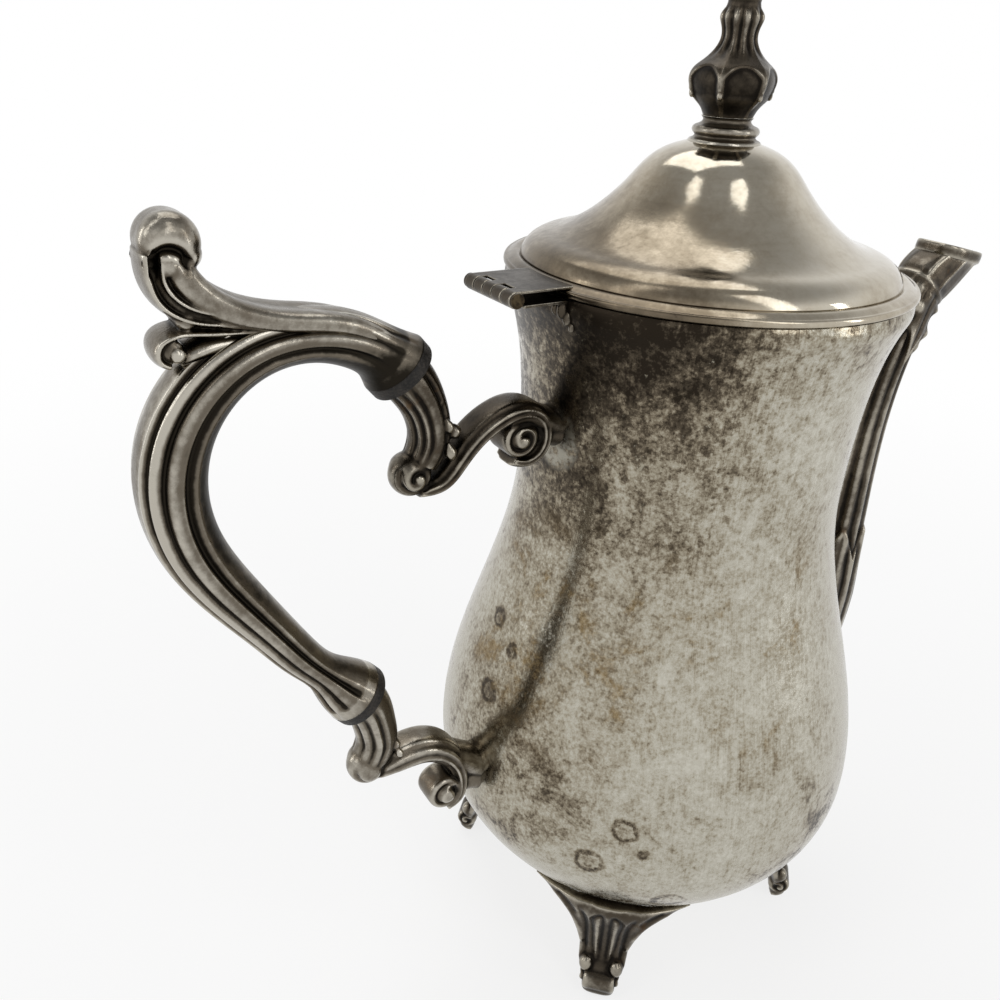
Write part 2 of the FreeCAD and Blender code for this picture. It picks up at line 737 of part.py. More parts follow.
def placed_foot(direction):
    leg = foot()
    leg.rotate(FreeCAD.Vector(), z_axis, direction)
    return leg


nodes = {
    "body_bowl": body_bowl,
    "body_shell": body_shell,
    "body_bottom": body_bottom,
    "mouth_bezel": mouth_bezel,
    "spout": spout,
    "spout_lip": spout_lip,
    "upper_socket": upper_socket,
    "upper_insulator": lambda: insulator(upper_ring_centre()),
    "upper_stud": lambda: ring_stud(upper_ring_centre(), ring_stud_radius),
    "handle_grip": handle_grip,
    "thumb_scroll": thumb_scroll,
    "lower_insulator": lambda: insulator(lower_ring_centre()),
    "lower_stud": lambda: ring_stud(lower_ring_centre(), ring_stud_radius),
    "lower_socket": lower_socket,
    "body_hinge_leaf": body_hinge_leaf,
    "hinge_pin": hinge_pin,
    "lid_hinge_leaf": lid_hinge_leaf,
    "lid_rim": lid_rim,
    "lid_dome": lid_dome,
    "lid_flange": lid_flange,
    "finial_base": finial_base,
    "finial": finial,
    "finial_stud": finial_stud,
    "finial_nut": finial_nut,
}
for foot_name, foot_direction in foot_directions.items():
    nodes[foot_name] = lambda direction=foot_direction: placed_foot(direction)

os.makedirs("parts", exist_ok=True)
for name, make in nodes.items():
    shape = make()
    shape.exportStep(f"parts/{name}.step")
    box = shape.BoundBox
    print(f"{name}: {len(shape.Solids)} solid, valid {shape.isValid()}, {shape.Volume:.0f} mm3, "
          f"x {box.XMin:.1f} to {box.XMax:.1f}, z {box.ZMin:.1f} to {box.ZMax:.1f}")
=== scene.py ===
import math

import bpy
import numpy as np
from mathutils import Matrix, Vector


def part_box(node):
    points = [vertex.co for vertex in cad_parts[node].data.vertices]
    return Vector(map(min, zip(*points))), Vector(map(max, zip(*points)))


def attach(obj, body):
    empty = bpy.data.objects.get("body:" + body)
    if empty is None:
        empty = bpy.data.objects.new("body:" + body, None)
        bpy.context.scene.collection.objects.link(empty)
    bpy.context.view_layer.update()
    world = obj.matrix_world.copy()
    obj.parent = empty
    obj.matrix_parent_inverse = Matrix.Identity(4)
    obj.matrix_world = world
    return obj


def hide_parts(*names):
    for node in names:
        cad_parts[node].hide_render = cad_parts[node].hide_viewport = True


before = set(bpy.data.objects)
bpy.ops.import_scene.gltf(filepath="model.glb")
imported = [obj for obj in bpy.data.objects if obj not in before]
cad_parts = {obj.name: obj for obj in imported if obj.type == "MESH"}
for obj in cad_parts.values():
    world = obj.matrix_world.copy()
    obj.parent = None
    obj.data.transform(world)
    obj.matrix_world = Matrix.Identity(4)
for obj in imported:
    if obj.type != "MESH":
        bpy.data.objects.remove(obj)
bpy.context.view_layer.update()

MM = 0.001
WHITE = (1.0, 1.0, 1.0, 1.0)

# Camera at the photograph's angle: its place in metres, its three directions, its lens in millimetres
CAMERA_PLACE = (-0.153146, -0.153146, 0.231101)
CAMERA_RIGHT = (0.8475629, -0.5284000, 0.0493013)
CAMERA_DOWN = (-0.2030358, -0.4086941, -0.8898009)
CAMERA_FORWARD = (0.4903199, 0.7441523, -0.4536781)
CAMERA_LENS, CAMERA_SENSOR = 33.228, 36.0

# Studio, in metres and watts
WORLD_LIGHT = 0.45
FLOOR_RADIUS, FLOOR_HEIGHT, FLOOR_SIDES = 6.0, -0.0003, 96
LAMPS = [("left_strip", (-1.2, 0.1, 1.3), (0, 0, 0.15), (0.3, 1.6), 2.7),
         ("right_strip", (0.1, -1.2, 1.3), (0, 0, 0.15), (0.42, 1.6), 3.6),
         ("left_low", (-1.04, 0.6, 0.38), (0, 0, 0.1), (0.12, 0.7), 1.1),
         ("right_low", (0.77, -0.92, 0.38), (0, 0, 0.1), (0.14, 0.7), 1.2),
         ("top", (0.2, 0.6, 1.5), (0, 0, 0.1), (1.1, 1.1), 7.0)]


def add_object(name, data):
    item = bpy.data.objects.new(name, data)
    bpy.context.scene.collection.objects.link(item)
    return item


def make_camera():
    data = bpy.data.cameras.new("camera")
    data.sensor_width = CAMERA_SENSOR
    data.lens = CAMERA_LENS
    data.clip_start, data.clip_end = 0.01, 50.0
    camera = add_object("camera", data)
    turn = Matrix((Vector(CAMERA_RIGHT), -Vector(CAMERA_DOWN), -Vector(CAMERA_FORWARD))).transposed()
    camera.matrix_world = Matrix.Translation(Vector(CAMERA_PLACE)) @ turn.to_4x4()
    bpy.context.scene.camera = camera


# Materials
class Nodes:
    """A short way to add and link nodes in one material or world."""

    def __init__(self, tree):
        self.tree = tree
        tree.nodes.clear()

    def add(self, kind, **settings):
        node = self.tree.nodes.new("ShaderNode" + kind)
        for key, value in settings.items():
            setattr(node, key, value)
        return node

    def put(self, socket, value):
        """Links another socket to this one, or sets a plain value on it."""
        if isinstance(value, bpy.types.NodeSocket):
            self.tree.links.new(value, socket)
        else:
            socket.default_value = value

    def math(self, operation, *values):
        node = self.add("Math", operation=operation)
        for socket, value in zip(node.inputs, values):
            self.put(socket, value)
        return node.outputs[0]

    def times(self, first, second):
        return self.math("MULTIPLY", first, second)

    def most(self, first, second):
        return self.math("MAXIMUM", first, second)

    def apart(self, first, second):
        return self.math("ABSOLUTE", self.math("SUBTRACT", first, second))

    def vector(self, operation, *values, output="Vector"):
        node = self.add("VectorMath", operation=operation)
        for socket, value in zip(node.inputs, values):
            self.put(socket, value)
        return node.outputs[output]

    def sum(self, *terms):
        """Adds plain sockets or numbers, and pairs of a socket and its weight."""
        total = 0.0
        for term in terms:
            if isinstance(term, tuple):
                total = self.math("MULTIPLY_ADD", *term, total)
            else:
                total = self.math("ADD", term, total)
        return total

    def ramp(self, value, low, high, start=0.0, end=1.0):
        node = self.add("MapRange", clamp=True, interpolation_type="SMOOTHSTEP")
        for index, item in enumerate((value, low, high, start, end)):
            self.put(node.inputs[index], item)
        return node.outputs[0]

    def colours(self, value, *stops):
        """A run of colours along a value from 0 to 1."""
        node = self.add("ValToRGB")
        elements = node.color_ramp.elements
        while len(elements) < len(stops):
            elements.new(0.5)
        for element, (where, colour) in zip(elements, stops):
            element.position = where
            element.color = colour
        self.put(node.inputs[0], value)
        return node.outputs["Color"]

    def mix(self, factor, first, second):
        node = self.add("Mix", data_type="RGBA")
        for index, value in ((0, factor), (6, first), (7, second)):
            self.put(node.inputs[index], value)
        return node.outputs[2]

    def noise(self, vector, scale, detail, rough, distortion=0.0):
        """Noise about zero, mostly between -0.5 and 0.5."""
        node = self.add("TexNoise")
        for name, value in (("Vector", vector), ("Scale", scale), ("Detail", detail), ("Roughness", rough),
                            ("Distortion", distortion)):
            self.put(node.inputs[name], value)
        return self.math("MULTIPLY_ADD", node.outputs["Fac"], 2.0, -1.0)

    def place(self):
        return self.add("TexCoord").outputs["Object"]

    def part(self, vector, index):
        """One of a vector's three numbers."""
        node = self.add("SeparateXYZ")
        self.put(node.inputs[0], vector)
        return node.outputs[index]

    def scaled(self, vector, scale):
        return self.vector("MULTIPLY", vector, scale)

    def outward(self, place):
        """Level direction from the pot's axis."""
        return self.vector("NORMALIZE", self.scaled(place, (1.0, 1.0, 0.0)))

    def toward(self, outward, degrees):
        """1 on the side of the pot that faces this direction, -1 opposite."""
        angle = math.radians(degrees)
        return self.vector("DOT_PRODUCT", outward, (math.cos(angle), math.sin(angle), 0.0), output="Value")

    def wrapped(self, place, outward, around, up):
        """A vector on the pot's side, stretched around or up."""
        level = self.scaled(outward, (around, around, 0.0))
        return self.vector("ADD", level, self.scaled(place, (0.0, 0.0, up)))

    def away(self, place, point):
        return self.vector("DISTANCE", place, point, output="Value")

    def near(self, place, point, inner, outer):
        """1 close to a point in metres, 0 away from it."""
        return self.ramp(self.away(place, point), inner, outer, 1.0, 0.0)

    def dried_drop(self, place, wobble, point, radius):
        """1 on the wavering ring that a dried drop leaves round a point in metres, less in its middle."""
        away = self.math("ADD", self.away(place, point), wobble)
        ring = self.ramp(self.apart(away, radius), 0.0002, 0.0011, 1.0, 0.0)
        return self.most(ring, self.ramp(away, radius, radius * 0.3, 0.0, 0.6))

    def seen(self):
        """1 for rays from the camera, or by way of metal and glass."""
        rays = self.add("LightPath").outputs
        return self.most(rays["Is Camera Ray"], self.most(rays["Is Glossy Ray"], rays["Is Transmission Ray"]))

    def finish(self, colour, roughness, height, strength, distance=0.0003, metallic=1.0):
        """Ends a material with its shader, which is metal unless told otherwise, and a fine bump."""
        shader = self.add("BsdfPrincipled")
        shader.inputs["Metallic"].default_value = metallic
        bump = self.add("Bump")
        bump.inputs["Strength"].default_value = strength
        bump.inputs["Distance"].default_value = distance
        self.put(bump.inputs["Height"], height)
        for name, value in (("Base Color", colour), ("Roughness", roughness), ("Normal", bump.outputs[0])):
            self.put(shader.inputs[name], value)
        self.put(self.add("OutputMaterial").inputs["Surface"], shader.outputs[0])
        return shader


def rgb(red, green, blue):
    return (red, green, blue, 1.0)


def new_material(name):
    material = bpy.data.materials.new(name)
    material.use_nodes = True
    return material, Nodes(material.node_tree)


def make_world():
    """White low round the horizon, greyer overhead, so that the metal shows light and shade."""
    world = bpy.data.worlds.new("studio")
    bpy.context.scene.world = world
    world.use_nodes = True
    n = Nodes(world.node_tree)
    overhead = n.ramp(n.part(n.add("TexCoord").outputs["Generated"], 2), 0.38, 0.85, 1.0, 0.42)
    background = n.add("Background")
    background.inputs["Color"].default_value = WHITE
    strength = n.math("MULTIPLY_ADD", n.seen(), n.math("SUBTRACT", overhead, WORLD_LIGHT), WORLD_LIGHT)
    n.put(background.inputs["Strength"], strength)
    n.put(n.add("OutputWorld").inputs["Surface"], background.outputs[0])


def area_light(name, place, target, size, power):
    data = bpy.data.lights.new(name, "AREA")
    data.shape = "RECTANGLE"
    data.size, data.size_y = size
    data.energy = power
    lamp = add_object(name, data)
    lamp.location = place
    lamp.rotation_euler = (Vector(target) - Vector(place)).to_track_quat("-Z", "Y").to_euler()


def make_floor():
    """A white disc that keeps the pot's shadow."""
    mesh = bpy.data.meshes.new("floor")
    turns = [2 * math.pi * i / FLOOR_SIDES for i in range(FLOOR_SIDES)]
    verts = [(FLOOR_RADIUS * math.cos(turn), FLOOR_RADIUS * math.sin(turn), FLOOR_HEIGHT) for turn in turns]
    mesh.from_pydata(verts, [], [list(range(FLOOR_SIDES))])
    material, n = new_material("floor_white")
    shader = n.add("BsdfPrincipled")
    shader.inputs["Base Color"].default_value = rgb(0.9, 0.9, 0.9)
    shader.inputs["Roughness"].default_value = 0.9
    shader.inputs["Specular IOR Level"].default_value = 0.0
    white = n.add("Emission")
    white.inputs["Color"].default_value = WHITE
    away = n.vector("LENGTH", n.place(), output="Value")
    share = n.times(n.seen(), n.ramp(away, 0.1, 0.6, 0.78, 1.0))
    blend = n.add("MixShader")
    for socket, value in zip(blend.inputs, (share, shader.outputs[0], white.outputs[0])):
        n.put(socket, value)
    n.put(n.add("OutputMaterial").inputs["Surface"], blend.outputs[0])
    mesh.materials.append(material)
    add_object("floor", mesh)


def casting(name, bright, plain, dark, dull):
    """Cast silver: polished on the high places, warm grey between, black in the recesses."""
    material, n = new_material(name)
    place = n.place()
    # The stored value is the depth of the recess, and on the grip also painted shade
    recess_and_painted_shade = n.add("Attribute", attribute_name="recess_and_painted_shade").outputs["Fac"]
    drift = n.noise(place, 24.0, 3.0, 0.6, 0.4)
    cloud = n.noise(place, 85.0, 5.0, 0.65, 0.4)
    speck = n.noise(place, 420.0, 5.0, 0.7)
    level = n.sum(recess_and_painted_shade, (drift, 0.55), (cloud, 0.55), (speck, 0.4), dull)
    colour = n.mix(n.ramp(level, -0.75, 0.0), bright, plain)
    colour = n.mix(n.ramp(level, 0.05, 0.7), colour, dark)
    rusty = n.ramp(n.sum(cloud, (drift, 0.6)), 0.22, 0.55, 0.0, 0.45)
    colour = n.mix(rusty, colour, rgb(0.13, 0.075, 0.035))
    n.finish(colour, n.ramp(level, -0.5, 0.6, 0.16, 0.42), n.sum(speck, cloud), 0.16)
    return material


# Where the photograph shows dried drops on the body, with their size, and where solder spilt, in metres
DRIED_DROPS = [((-0.0389, -0.0403, 0.0664), 0.0029), ((-0.0444, -0.0351, 0.0546), 0.003),
               ((-0.0356, -0.044, 0.0604), 0.0013), ((-0.0466, 0.0057, 0.1009), 0.002),
               ((-0.0521, 0.0008, 0.0839), 0.0026), ((-0.0481, -0.0026, 0.097), 0.0014)]
SOLDER_SPOTS = [(-0.041, -0.002, 0.1515), (-0.0565, 0.0, 0.06)]


def body_silver():
    """Worn plate: cream haze full of specks, warm grey silver, and brown to black tarnish under the lid."""
    material, n = new_material("tarnished_plate")
    place = n.place()
    height = n.part(place, 2)
    outward = n.outward(place)
    cloud = n.noise(place, 17.0, 4.0, 0.6, 0.5)
    blotch = n.noise(place, 75.0, 6.0, 0.72, 0.6)
    speck = n.noise(place, 330.0, 6.0, 0.75)
    grain = n.noise(place, 950.0, 4.0, 0.7)
    crisp = n.ramp(speck, -0.2, 0.2, -0.5, 0.5)
    upright = n.noise(n.wrapped(place, outward, 0.12, 0.11), 520.0, 5.0, 0.66, 1.4)
    level = n.noise(n.wrapped(place, outward, 0.008, 0.7), 460.0, 5.0, 0.66)

    # Where the tarnish gathers: below the lid towards the handle and behind, and under the rim
    high = n.ramp(n.sum(height, (blotch, 0.018), (speck, 0.008)), 0.108, 0.172)
    front_dark = n.times(n.ramp(n.toward(outward, 192.0), 0.4, 0.92), high)
    back_dark = n.times(n.ramp(n.toward(outward, 50.0), 0.5, 0.98), high)
    rim_dark = n.ramp(height, 0.164, 0.179)
    # A painted highlight: the side towards 280 degrees is made paler, and its upright streaks show more there
    painted_highlight_side = n.ramp(n.toward(outward, 280.0), 0.35, 0.85)
    low_pale = n.ramp(height, 0.065, 0.03)
    strokes_side = n.times(upright, n.sum((painted_highlight_side, 0.16), 0.1))
    specks = n.times(crisp, n.sum((high, 0.13), (low_pale, 0.08), 0.12))
    strokes_low = n.times(level, low_pale)
    dirt = n.times(n.ramp(n.sum(blotch, (cloud, 0.7)), 0.0, 0.4), n.ramp(height, 0.1, 0.06))

    # Dried drops: dark wavering rings with a spotted middle
    cells = n.add("TexVoronoi", feature="F1")
    n.put(cells.inputs["Vector"], place)
    cells.inputs["Scale"].default_value = 40.0
    away = n.sum(cells.outputs["Distance"], (blotch, 0.07), (speck, 0.05))
    chosen = n.part(cells.outputs["Color"], 0)
    drop = n.times(n.ramp(chosen, 0.7, 0.72), n.ramp(height, 0.112, 0.085))
    ring = n.ramp(n.apart(away, 0.17), 0.012, 0.05, 1.0, 0.0)
    spotted = n.times(n.ramp(away, 0.15, 0.05), n.ramp(speck, -0.05, 0.3))
    ring = n.times(n.most(ring, spotted), drop)
    wobble = n.sum((blotch, 0.0026), (speck, 0.0012))
    for point, radius in DRIED_DROPS:
        ring = n.most(ring, n.dried_drop(place, wobble, point, radius))

    tarnish = n.sum((front_dark, 0.38), (back_dark, 0.3), (rim_dark, 0.14), (painted_highlight_side, -0.1),
                    (low_pale, -0.08), (cloud, 0.32), (blotch, 0.42), specks, (grain, 0.5), strokes_side,
                    (strokes_low, 0.24), (ring, 0.34), (dirt, 0.26), 0.41)
    colour = n.colours(tarnish, (0.0, rgb(0.56, 0.54, 0.47)), (0.28, rgb(0.44, 0.415, 0.345)),
                       (0.45, rgb(0.33, 0.295, 0.225)), (0.6, rgb(0.19, 0.158, 0.112)),
                       (0.76, rgb(0.08, 0.064, 0.045)), (1.0, rgb(0.022, 0.017, 0.012)))
    # A painted reflection: warm brown blotches round the middle height of the body
    reflection_band = n.times(n.ramp(height, 0.07, 0.095), n.ramp(height, 0.14, 0.112))
    painted_warm_reflection = n.times(n.ramp(n.sum(blotch, (cloud, 0.6), (speck, 0.5)), 0.12, 0.5), reflection_band)
    colour = n.mix(n.times(painted_warm_reflection, 0.4), colour, rgb(0.34, 0.235, 0.1))
    # Pale chips in the dark zone, small dark pits all over, and pale solder round the sockets' roots
    chips = n.times(n.ramp(n.sum(speck, (blotch, -0.5)), 0.3, 0.42), n.ramp(front_dark, 0.1, 0.6, 0.0, 0.7))
    colour = n.mix(chips, colour, rgb(0.4, 0.37, 0.29))
    pits = n.ramp(n.sum(grain, (speck, 0.7), (blotch, 0.5)), 0.5, 0.68, 0.0, 0.8)
    colour = n.mix(pits, colour, rgb(0.06, 0.045, 0.028))
    upper, lower = (n.near(place, spot, 0.006, 0.0085) for spot in SOLDER_SPOTS)
    solder = n.times(n.most(upper, lower), n.ramp(n.sum(blotch, speck), -0.15, 0.25, 0.0, 0.8))
    colour = n.mix(solder, colour, rgb(0.38, 0.36, 0.3))

    from_clean = n.apart(tarnish, 0.48)
    roughness = n.ramp(n.sum(from_clean, (speck, 0.15)), 0.0, 0.34, 0.11, 0.34)
    n.finish(colour, roughness, n.sum(speck, (grain, 0.6), (upright, 0.3), (cloud, 1.2)), 0.1)
    return material


def lid_silver():
    """Polished plate, warm and mirror smooth, with fine turned marks, a few pits, and tarnish at the hinge."""
    material, n = new_material("polished_plate")
    place = n.place()
    height = n.part(place, 2)
    outward = n.outward(place)
    cloud = n.noise(place, 26.0, 4.0, 0.6, 0.4)
    blotch = n.noise(place, 90.0, 5.0, 0.68, 0.4)
    speck = n.noise(place, 420.0, 5.0, 0.72)
    turned = n.noise(n.wrapped(place, outward, 0.004, 2.6), 460.0, 4.0, 0.6)
    hinge_side = n.times(n.ramp(n.toward(outward, 172.0), 0.1, 0.95), n.ramp(height, 0.216, 0.189))
    edge = n.ramp(height, 0.189, 0.1855)
    tarnish = n.sum((hinge_side, 0.42), (edge, 0.14), (cloud, 0.2), (blotch, 0.2), (speck, 0.16),
                    (turned, 0.06), 0.27)
    colour = n.colours(tarnish, (0.0, rgb(0.6, 0.565, 0.49)), (0.3, rgb(0.5, 0.455, 0.37)),
                       (0.5, rgb(0.35, 0.3, 0.225)), (0.7, rgb(0.17, 0.137, 0.095)),
                       (1.0, rgb(0.045, 0.035, 0.025)))
    pits = n.ramp(n.sum(speck, (blotch, 0.5)), 0.5, 0.62, 0.0, 0.8)
    colour = n.mix(pits, colour, rgb(0.06, 0.048, 0.034))
    roughness = n.ramp(n.sum(tarnish, (speck, 0.25)), 0.1, 0.85, 0.06, 0.24)
    n.finish(colour, roughness, n.sum(speck, (turned, 0.5), (cloud, 0.5)), 0.035)
    return material


def dark_fibre():
    """Moulded fibre, nearly black, with a fine grain."""
    material, n = new_material("dark_fibre")
    place = n.place()
    grain = n.noise(place, 1400.0, 4.0, 0.7)
    cloud = n.noise(place, 240.0, 4.0, 0.6)
    colour = n.mix(n.ramp(n.sum(grain, cloud), -0.4, 0.6), rgb(0.012, 0.011, 0.01), rgb(0.055, 0.048, 0.042))
    roughness = n.ramp(n.sum(cloud, grain), -0.5, 0.6, 0.38, 0.68)
    shader = n.finish(colour, roughness, n.sum(grain, cloud), 0.35, metallic=0.0)
    shader.inputs["Specular IOR Level"].default_value = 0.2
    return material


def dull_brass():
    """Dark, dull brass of the studs, the nut and the pin."""
    material, n = new_material("dull_brass")
    place = n.place()
    cloud = n.noise(place, 300.0, 4.0, 0.6)
    grain = n.noise(place, 1500.0, 3.0, 0.6)
    colour = n.mix(n.ramp(n.sum(cloud, grain), -0.4, 0.4), rgb(0.07, 0.052, 0.03), rgb(0.022, 0.017, 0.012))
    n.finish(colour, n.ramp(cloud, -0.4, 0.4, 0.3, 0.55), grain, 0.2, 0.0002)
    return material


# Curves and shells; from here on lengths are in millimetres, and place_piece brings them to metres
def spline(rows, count):
    """Smooth rows through the given ones, evenly spread along the path of their first two columns."""
    rows = np.array(rows, float)
    steps = np.hypot(*np.diff(rows[:, :2], axis=0).T)
    knots = np.concatenate([[0.0], np.cumsum(steps)])
    size = len(rows)
    system = np.eye(size)
    right = np.zeros_like(rows)
    for i in range(1, size - 1):
        before, after = steps[i - 1], steps[i]
        system[i, i - 1:i + 2] = before, 2 * (before + after), after
        right[i] = 6 * ((rows[i + 1] - rows[i]) / after - (rows[i] - rows[i - 1]) / before)
    bend = np.linalg.solve(system, right)
    place = np.linspace(0, knots[-1], count)
    i = np.clip(np.searchsorted(knots, place, side="right") - 1, 0, size - 2)
    span = steps[i][:, None]
    a = (knots[i + 1] - place)[:, None] / span
    b = 1 - a
    return a * rows[i] + b * rows[i + 1] + ((a ** 3 - a) * bend[i] + (b ** 3 - b) * bend[i + 1]) * span ** 2 / 6


def bezier_points(poles, count):
    t = np.linspace(0, 1, count)[:, None]
    a, b, c, d = (np.array(pole) for pole in poles)
    return (1 - t) ** 3 * a + 3 * t * (1 - t) ** 2 * b + 3 * t ** 2 * (1 - t) * c + t ** 3 * d


def full_turn(count):
    return np.linspace(0, 2 * math.pi, count, endpoint=False)


def half_turns(count):
    """A full turn that starts at the back, so that both sides have the same angles."""
    return np.linspace(-math.pi, math.pi, count, endpoint=False)


def unit(values):
    return np.clip(values, 0.0, 1.0)


def points_of(x, y, z):
    return np.stack(np.broadcast_arrays(x, y, z), -1)


def dip(turn, centre, width):
    """A soft dent across the section, the same on both sides."""
    away = np.abs(np.angle(np.exp(1j * (np.abs(turn) - math.radians(centre)))))
    return np.exp(-(away / math.radians(width)) ** 2)


def dips(turn, centres, width):
    return sum(dip(turn, centre, width) for centre in centres)


def squared(turn, power):
    """Reach of a section between a circle and a square."""
    return (np.abs(np.cos(turn)) ** power + np.abs(np.sin(turn)) ** power) ** (-1 / power)


def spiral(centre, radius, start, turns, end_share, count=60):
    """Points of a flat spiral that winds in, counterclockwise for positive turns."""
    share = np.linspace(0, 1, count)
    angle = math.radians(start) + share * turns * 2 * math.pi
    reach = radius * (1 + (end_share - 1) * share)
    return np.stack([centre[0] + reach * np.cos(angle), centre[1] + reach * np.sin(angle)], -1)


def path_distance(points, path):
    """Distance of flat points from a polyline, and how far along it they lie."""
    best = np.full(len(points), 1e9)
    along = np.zeros(len(points))
    for i, (a, b) in enumerate(zip(path[:-1], path[1:])):
        run = b - a
        share = unit(((points - a) @ run) / (run @ run))
        away = np.hypot(*(points - a - share[:, None] * run).T)
        closer = away < best
        best[closer] = away[closer]
        along[closer] = (i + share[closer]) / (len(path) - 1)
    return best, along


class Form:
    """Closed shells gathered into one casting."""

    def __init__(self):
        self.verts = []
        self.faces = []
        self.count = 0

    def grid(self, points):
        """A closed tube of rings of points, with a fan at each end."""
        rows, cols, _ = points.shape
        start = self.count
        ids = start + np.arange(rows * cols).reshape(rows, cols)
        after = np.roll(ids, -1, axis=1)
        quads = np.stack([ids[:-1], after[:-1], after[1:], ids[1:]], -1).reshape(-1, 4)
        self.faces += quads.tolist()
        self.verts += points.reshape(-1, 3).tolist()
        self.verts += [points[0].mean(0).tolist(), points[-1].mean(0).tolist()]
        low, high = start + rows * cols, start + rows * cols + 1
        self.faces += [[low, int(b), int(a)] for a, b in zip(ids[0], after[0])]
        self.faces += [[high, int(a), int(b)] for a, b in zip(ids[-1], after[-1])]
        self.count += rows * cols + 2

    def loop(self, points):
        """A closed ring of closed sections."""
        ids = self.count + np.arange(points.shape[0] * points.shape[1]).reshape(points.shape[:2])
        after, below = np.roll(ids, -1, axis=1), np.roll(ids, -1, axis=0)
        quads = np.stack([ids, after, np.roll(after, -1, axis=0), below], -1).reshape(-1, 4)
        self.faces += quads.tolist()
        self.verts += points.reshape(-1, 3).tolist()
        self.count += ids.size

    def band(self, points):
        """A flat band between two like outlines, closed by the quads that pair its two long sides."""
        cols = points.shape[1]
        ids = self.count + np.arange(2 * cols).reshape(2, cols)
        after = np.roll(ids, -1, axis=1)
        self.faces += np.stack([ids[0], after[0], after[1], ids[1]], -1).tolist()
        for row, order in ((ids[0], 1), (ids[1], -1)):
            for i in range(cols // 2 - 1):
                quad = [int(row[i]), int(row[cols - 1 - i]), int(row[cols - 2 - i]), int(row[i + 1])]
                self.faces.append(quad[::order])
        self.verts += points.reshape(-1, 3).tolist()
        self.count += 2 * cols

    def sweep(self, rows, profile=None, along=60, around=32, first=None, last=None, turning=0.06):
        """A tube along a path in the XZ plane; rows hold x, z, half depth, half width and more."""
        path = spline(rows, along)
        step = np.gradient(path[:, :2], axis=0)
        heading = np.unwrap(np.arctan2(step[:, 1], step[:, 0]))
        ease = unit(1 - np.arange(along) / (turning * along))
        if first is not None:
            heading += ease * np.angle(np.exp(1j * (first - heading[0])))
        if last is not None:
            heading += ease[::-1] * np.angle(np.exp(1j * (last - heading[-1])))
        turn = half_turns(around)[None, :]
        reach = 1.0 if profile is None else profile(turn, path)
        deep = path[:, 2:3] * reach * np.cos(turn)
        self.grid(points_of(path[:, 0:1] - np.sin(heading)[:, None] * deep, path[:, 3:4] * reach * np.sin(turn),
                            path[:, 1:2] + np.cos(heading)[:, None] * deep))

    def ball(self, centre, radii, around=32):
        lift = np.linspace(-math.pi / 2, math.pi / 2, around)[1:-1, None]
        turn = full_turn(around)
        sphere = points_of(np.cos(lift) * np.cos(turn), np.cos(lift) * np.sin(turn), np.sin(lift))
        self.grid(sphere * np.array(radii) + np.array(centre))

    def roll(self, centre, radius, half_width, round_edge=0.45):
        """A rolled end along Y with rounded rims."""
        soft = min(radius, half_width) * round_edge
        bend = np.linspace(0, math.pi / 2, 8)
        rim = radius - soft + soft * np.sin(bend)
        edge = -half_width + soft - soft * np.cos(bend)
        radii = np.concatenate([rim, rim[::-1]])[:, None]
        sides = np.concatenate([edge, -edge[::-1]])[:, None]
        turn = full_turn(48)
        self.grid(points_of(centre[0] + radii * np.cos(turn), sides, centre[1] + radii * np.sin(turn)))


# Meshes
def points_and_normals(mesh):
    count = len(mesh.vertices)
    verts = np.empty(count * 3)
    mesh.vertices.foreach_get("co", verts)
    normals = np.empty(count * 3)
    mesh.vertex_normals.foreach_get("vector", normals)
    return verts.reshape(-1, 3), normals.reshape(-1, 3)


def move_points(mesh, verts):
    mesh.vertices.foreach_set("co", verts.ravel())
    mesh.update()


def neighbours_mean(mesh, values, rounds):
    edges = np.empty(len(mesh.edges) * 2, int)
    mesh.edges.foreach_get("vertices", edges)
    first, second = edges.reshape(-1, 2).T
    count = len(values)
    degree = np.maximum(np.bincount(first, minlength=count) + np.bincount(second, minlength=count), 1)
    for _ in range(rounds):
        values = np.stack([(np.bincount(first, column[second], count)
                            + np.bincount(second, column[first], count)) / degree for column in values.T], -1)
    return values


CAST_VOXEL, FINIAL_VOXEL, FOOT_VOXEL, HINGE_VOXEL = 0.2, 0.15, 0.22, 0.11


def fused(form, voxel):
    """One skin round all shells of a form, as a casting has."""
    raw = bpy.data.meshes.new("raw")
    raw.from_pydata(form.verts, [], form.faces)
    holder = add_object("raw", raw)
    remesh = holder.modifiers.new("skin", "REMESH")
    remesh.mode = "VOXEL"
    remesh.voxel_size = voxel
    skin = bpy.data.meshes.new_from_object(holder.evaluated_get(bpy.context.evaluated_depsgraph_get()))
    bpy.data.objects.remove(holder)
    bpy.data.meshes.remove(raw)
    return skin


def form_mesh(form):
    """A form's shells as they are, turned so that their faces look outwards."""
    mesh = bpy.data.meshes.new("form")
    mesh.from_pydata(form.verts, [], form.faces)
    mesh.update()
    mesh.calc_loop_triangles()
    corners = np.empty(len(mesh.loop_triangles) * 3, int)
    mesh.loop_triangles.foreach_get("vertices", corners)
    first, second, third = np.array(form.verts)[corners.reshape(-1, 3)].transpose(1, 0, 2)
    if (first * np.cross(second, third)).sum() < 0:
        mesh.flip_normals()
    mesh.update()
    return mesh


def turned_mesh(section, around=256):
    """A ring or dome turned about the pot's axis; the section is a closed outline of radius and height."""
    radius, height = np.array(section).T
    turn = full_turn(around)[:, None]
    form = Form()
    form.loop(points_of(radius * np.cos(turn), radius * np.sin(turn), height))
    return form_mesh(form)


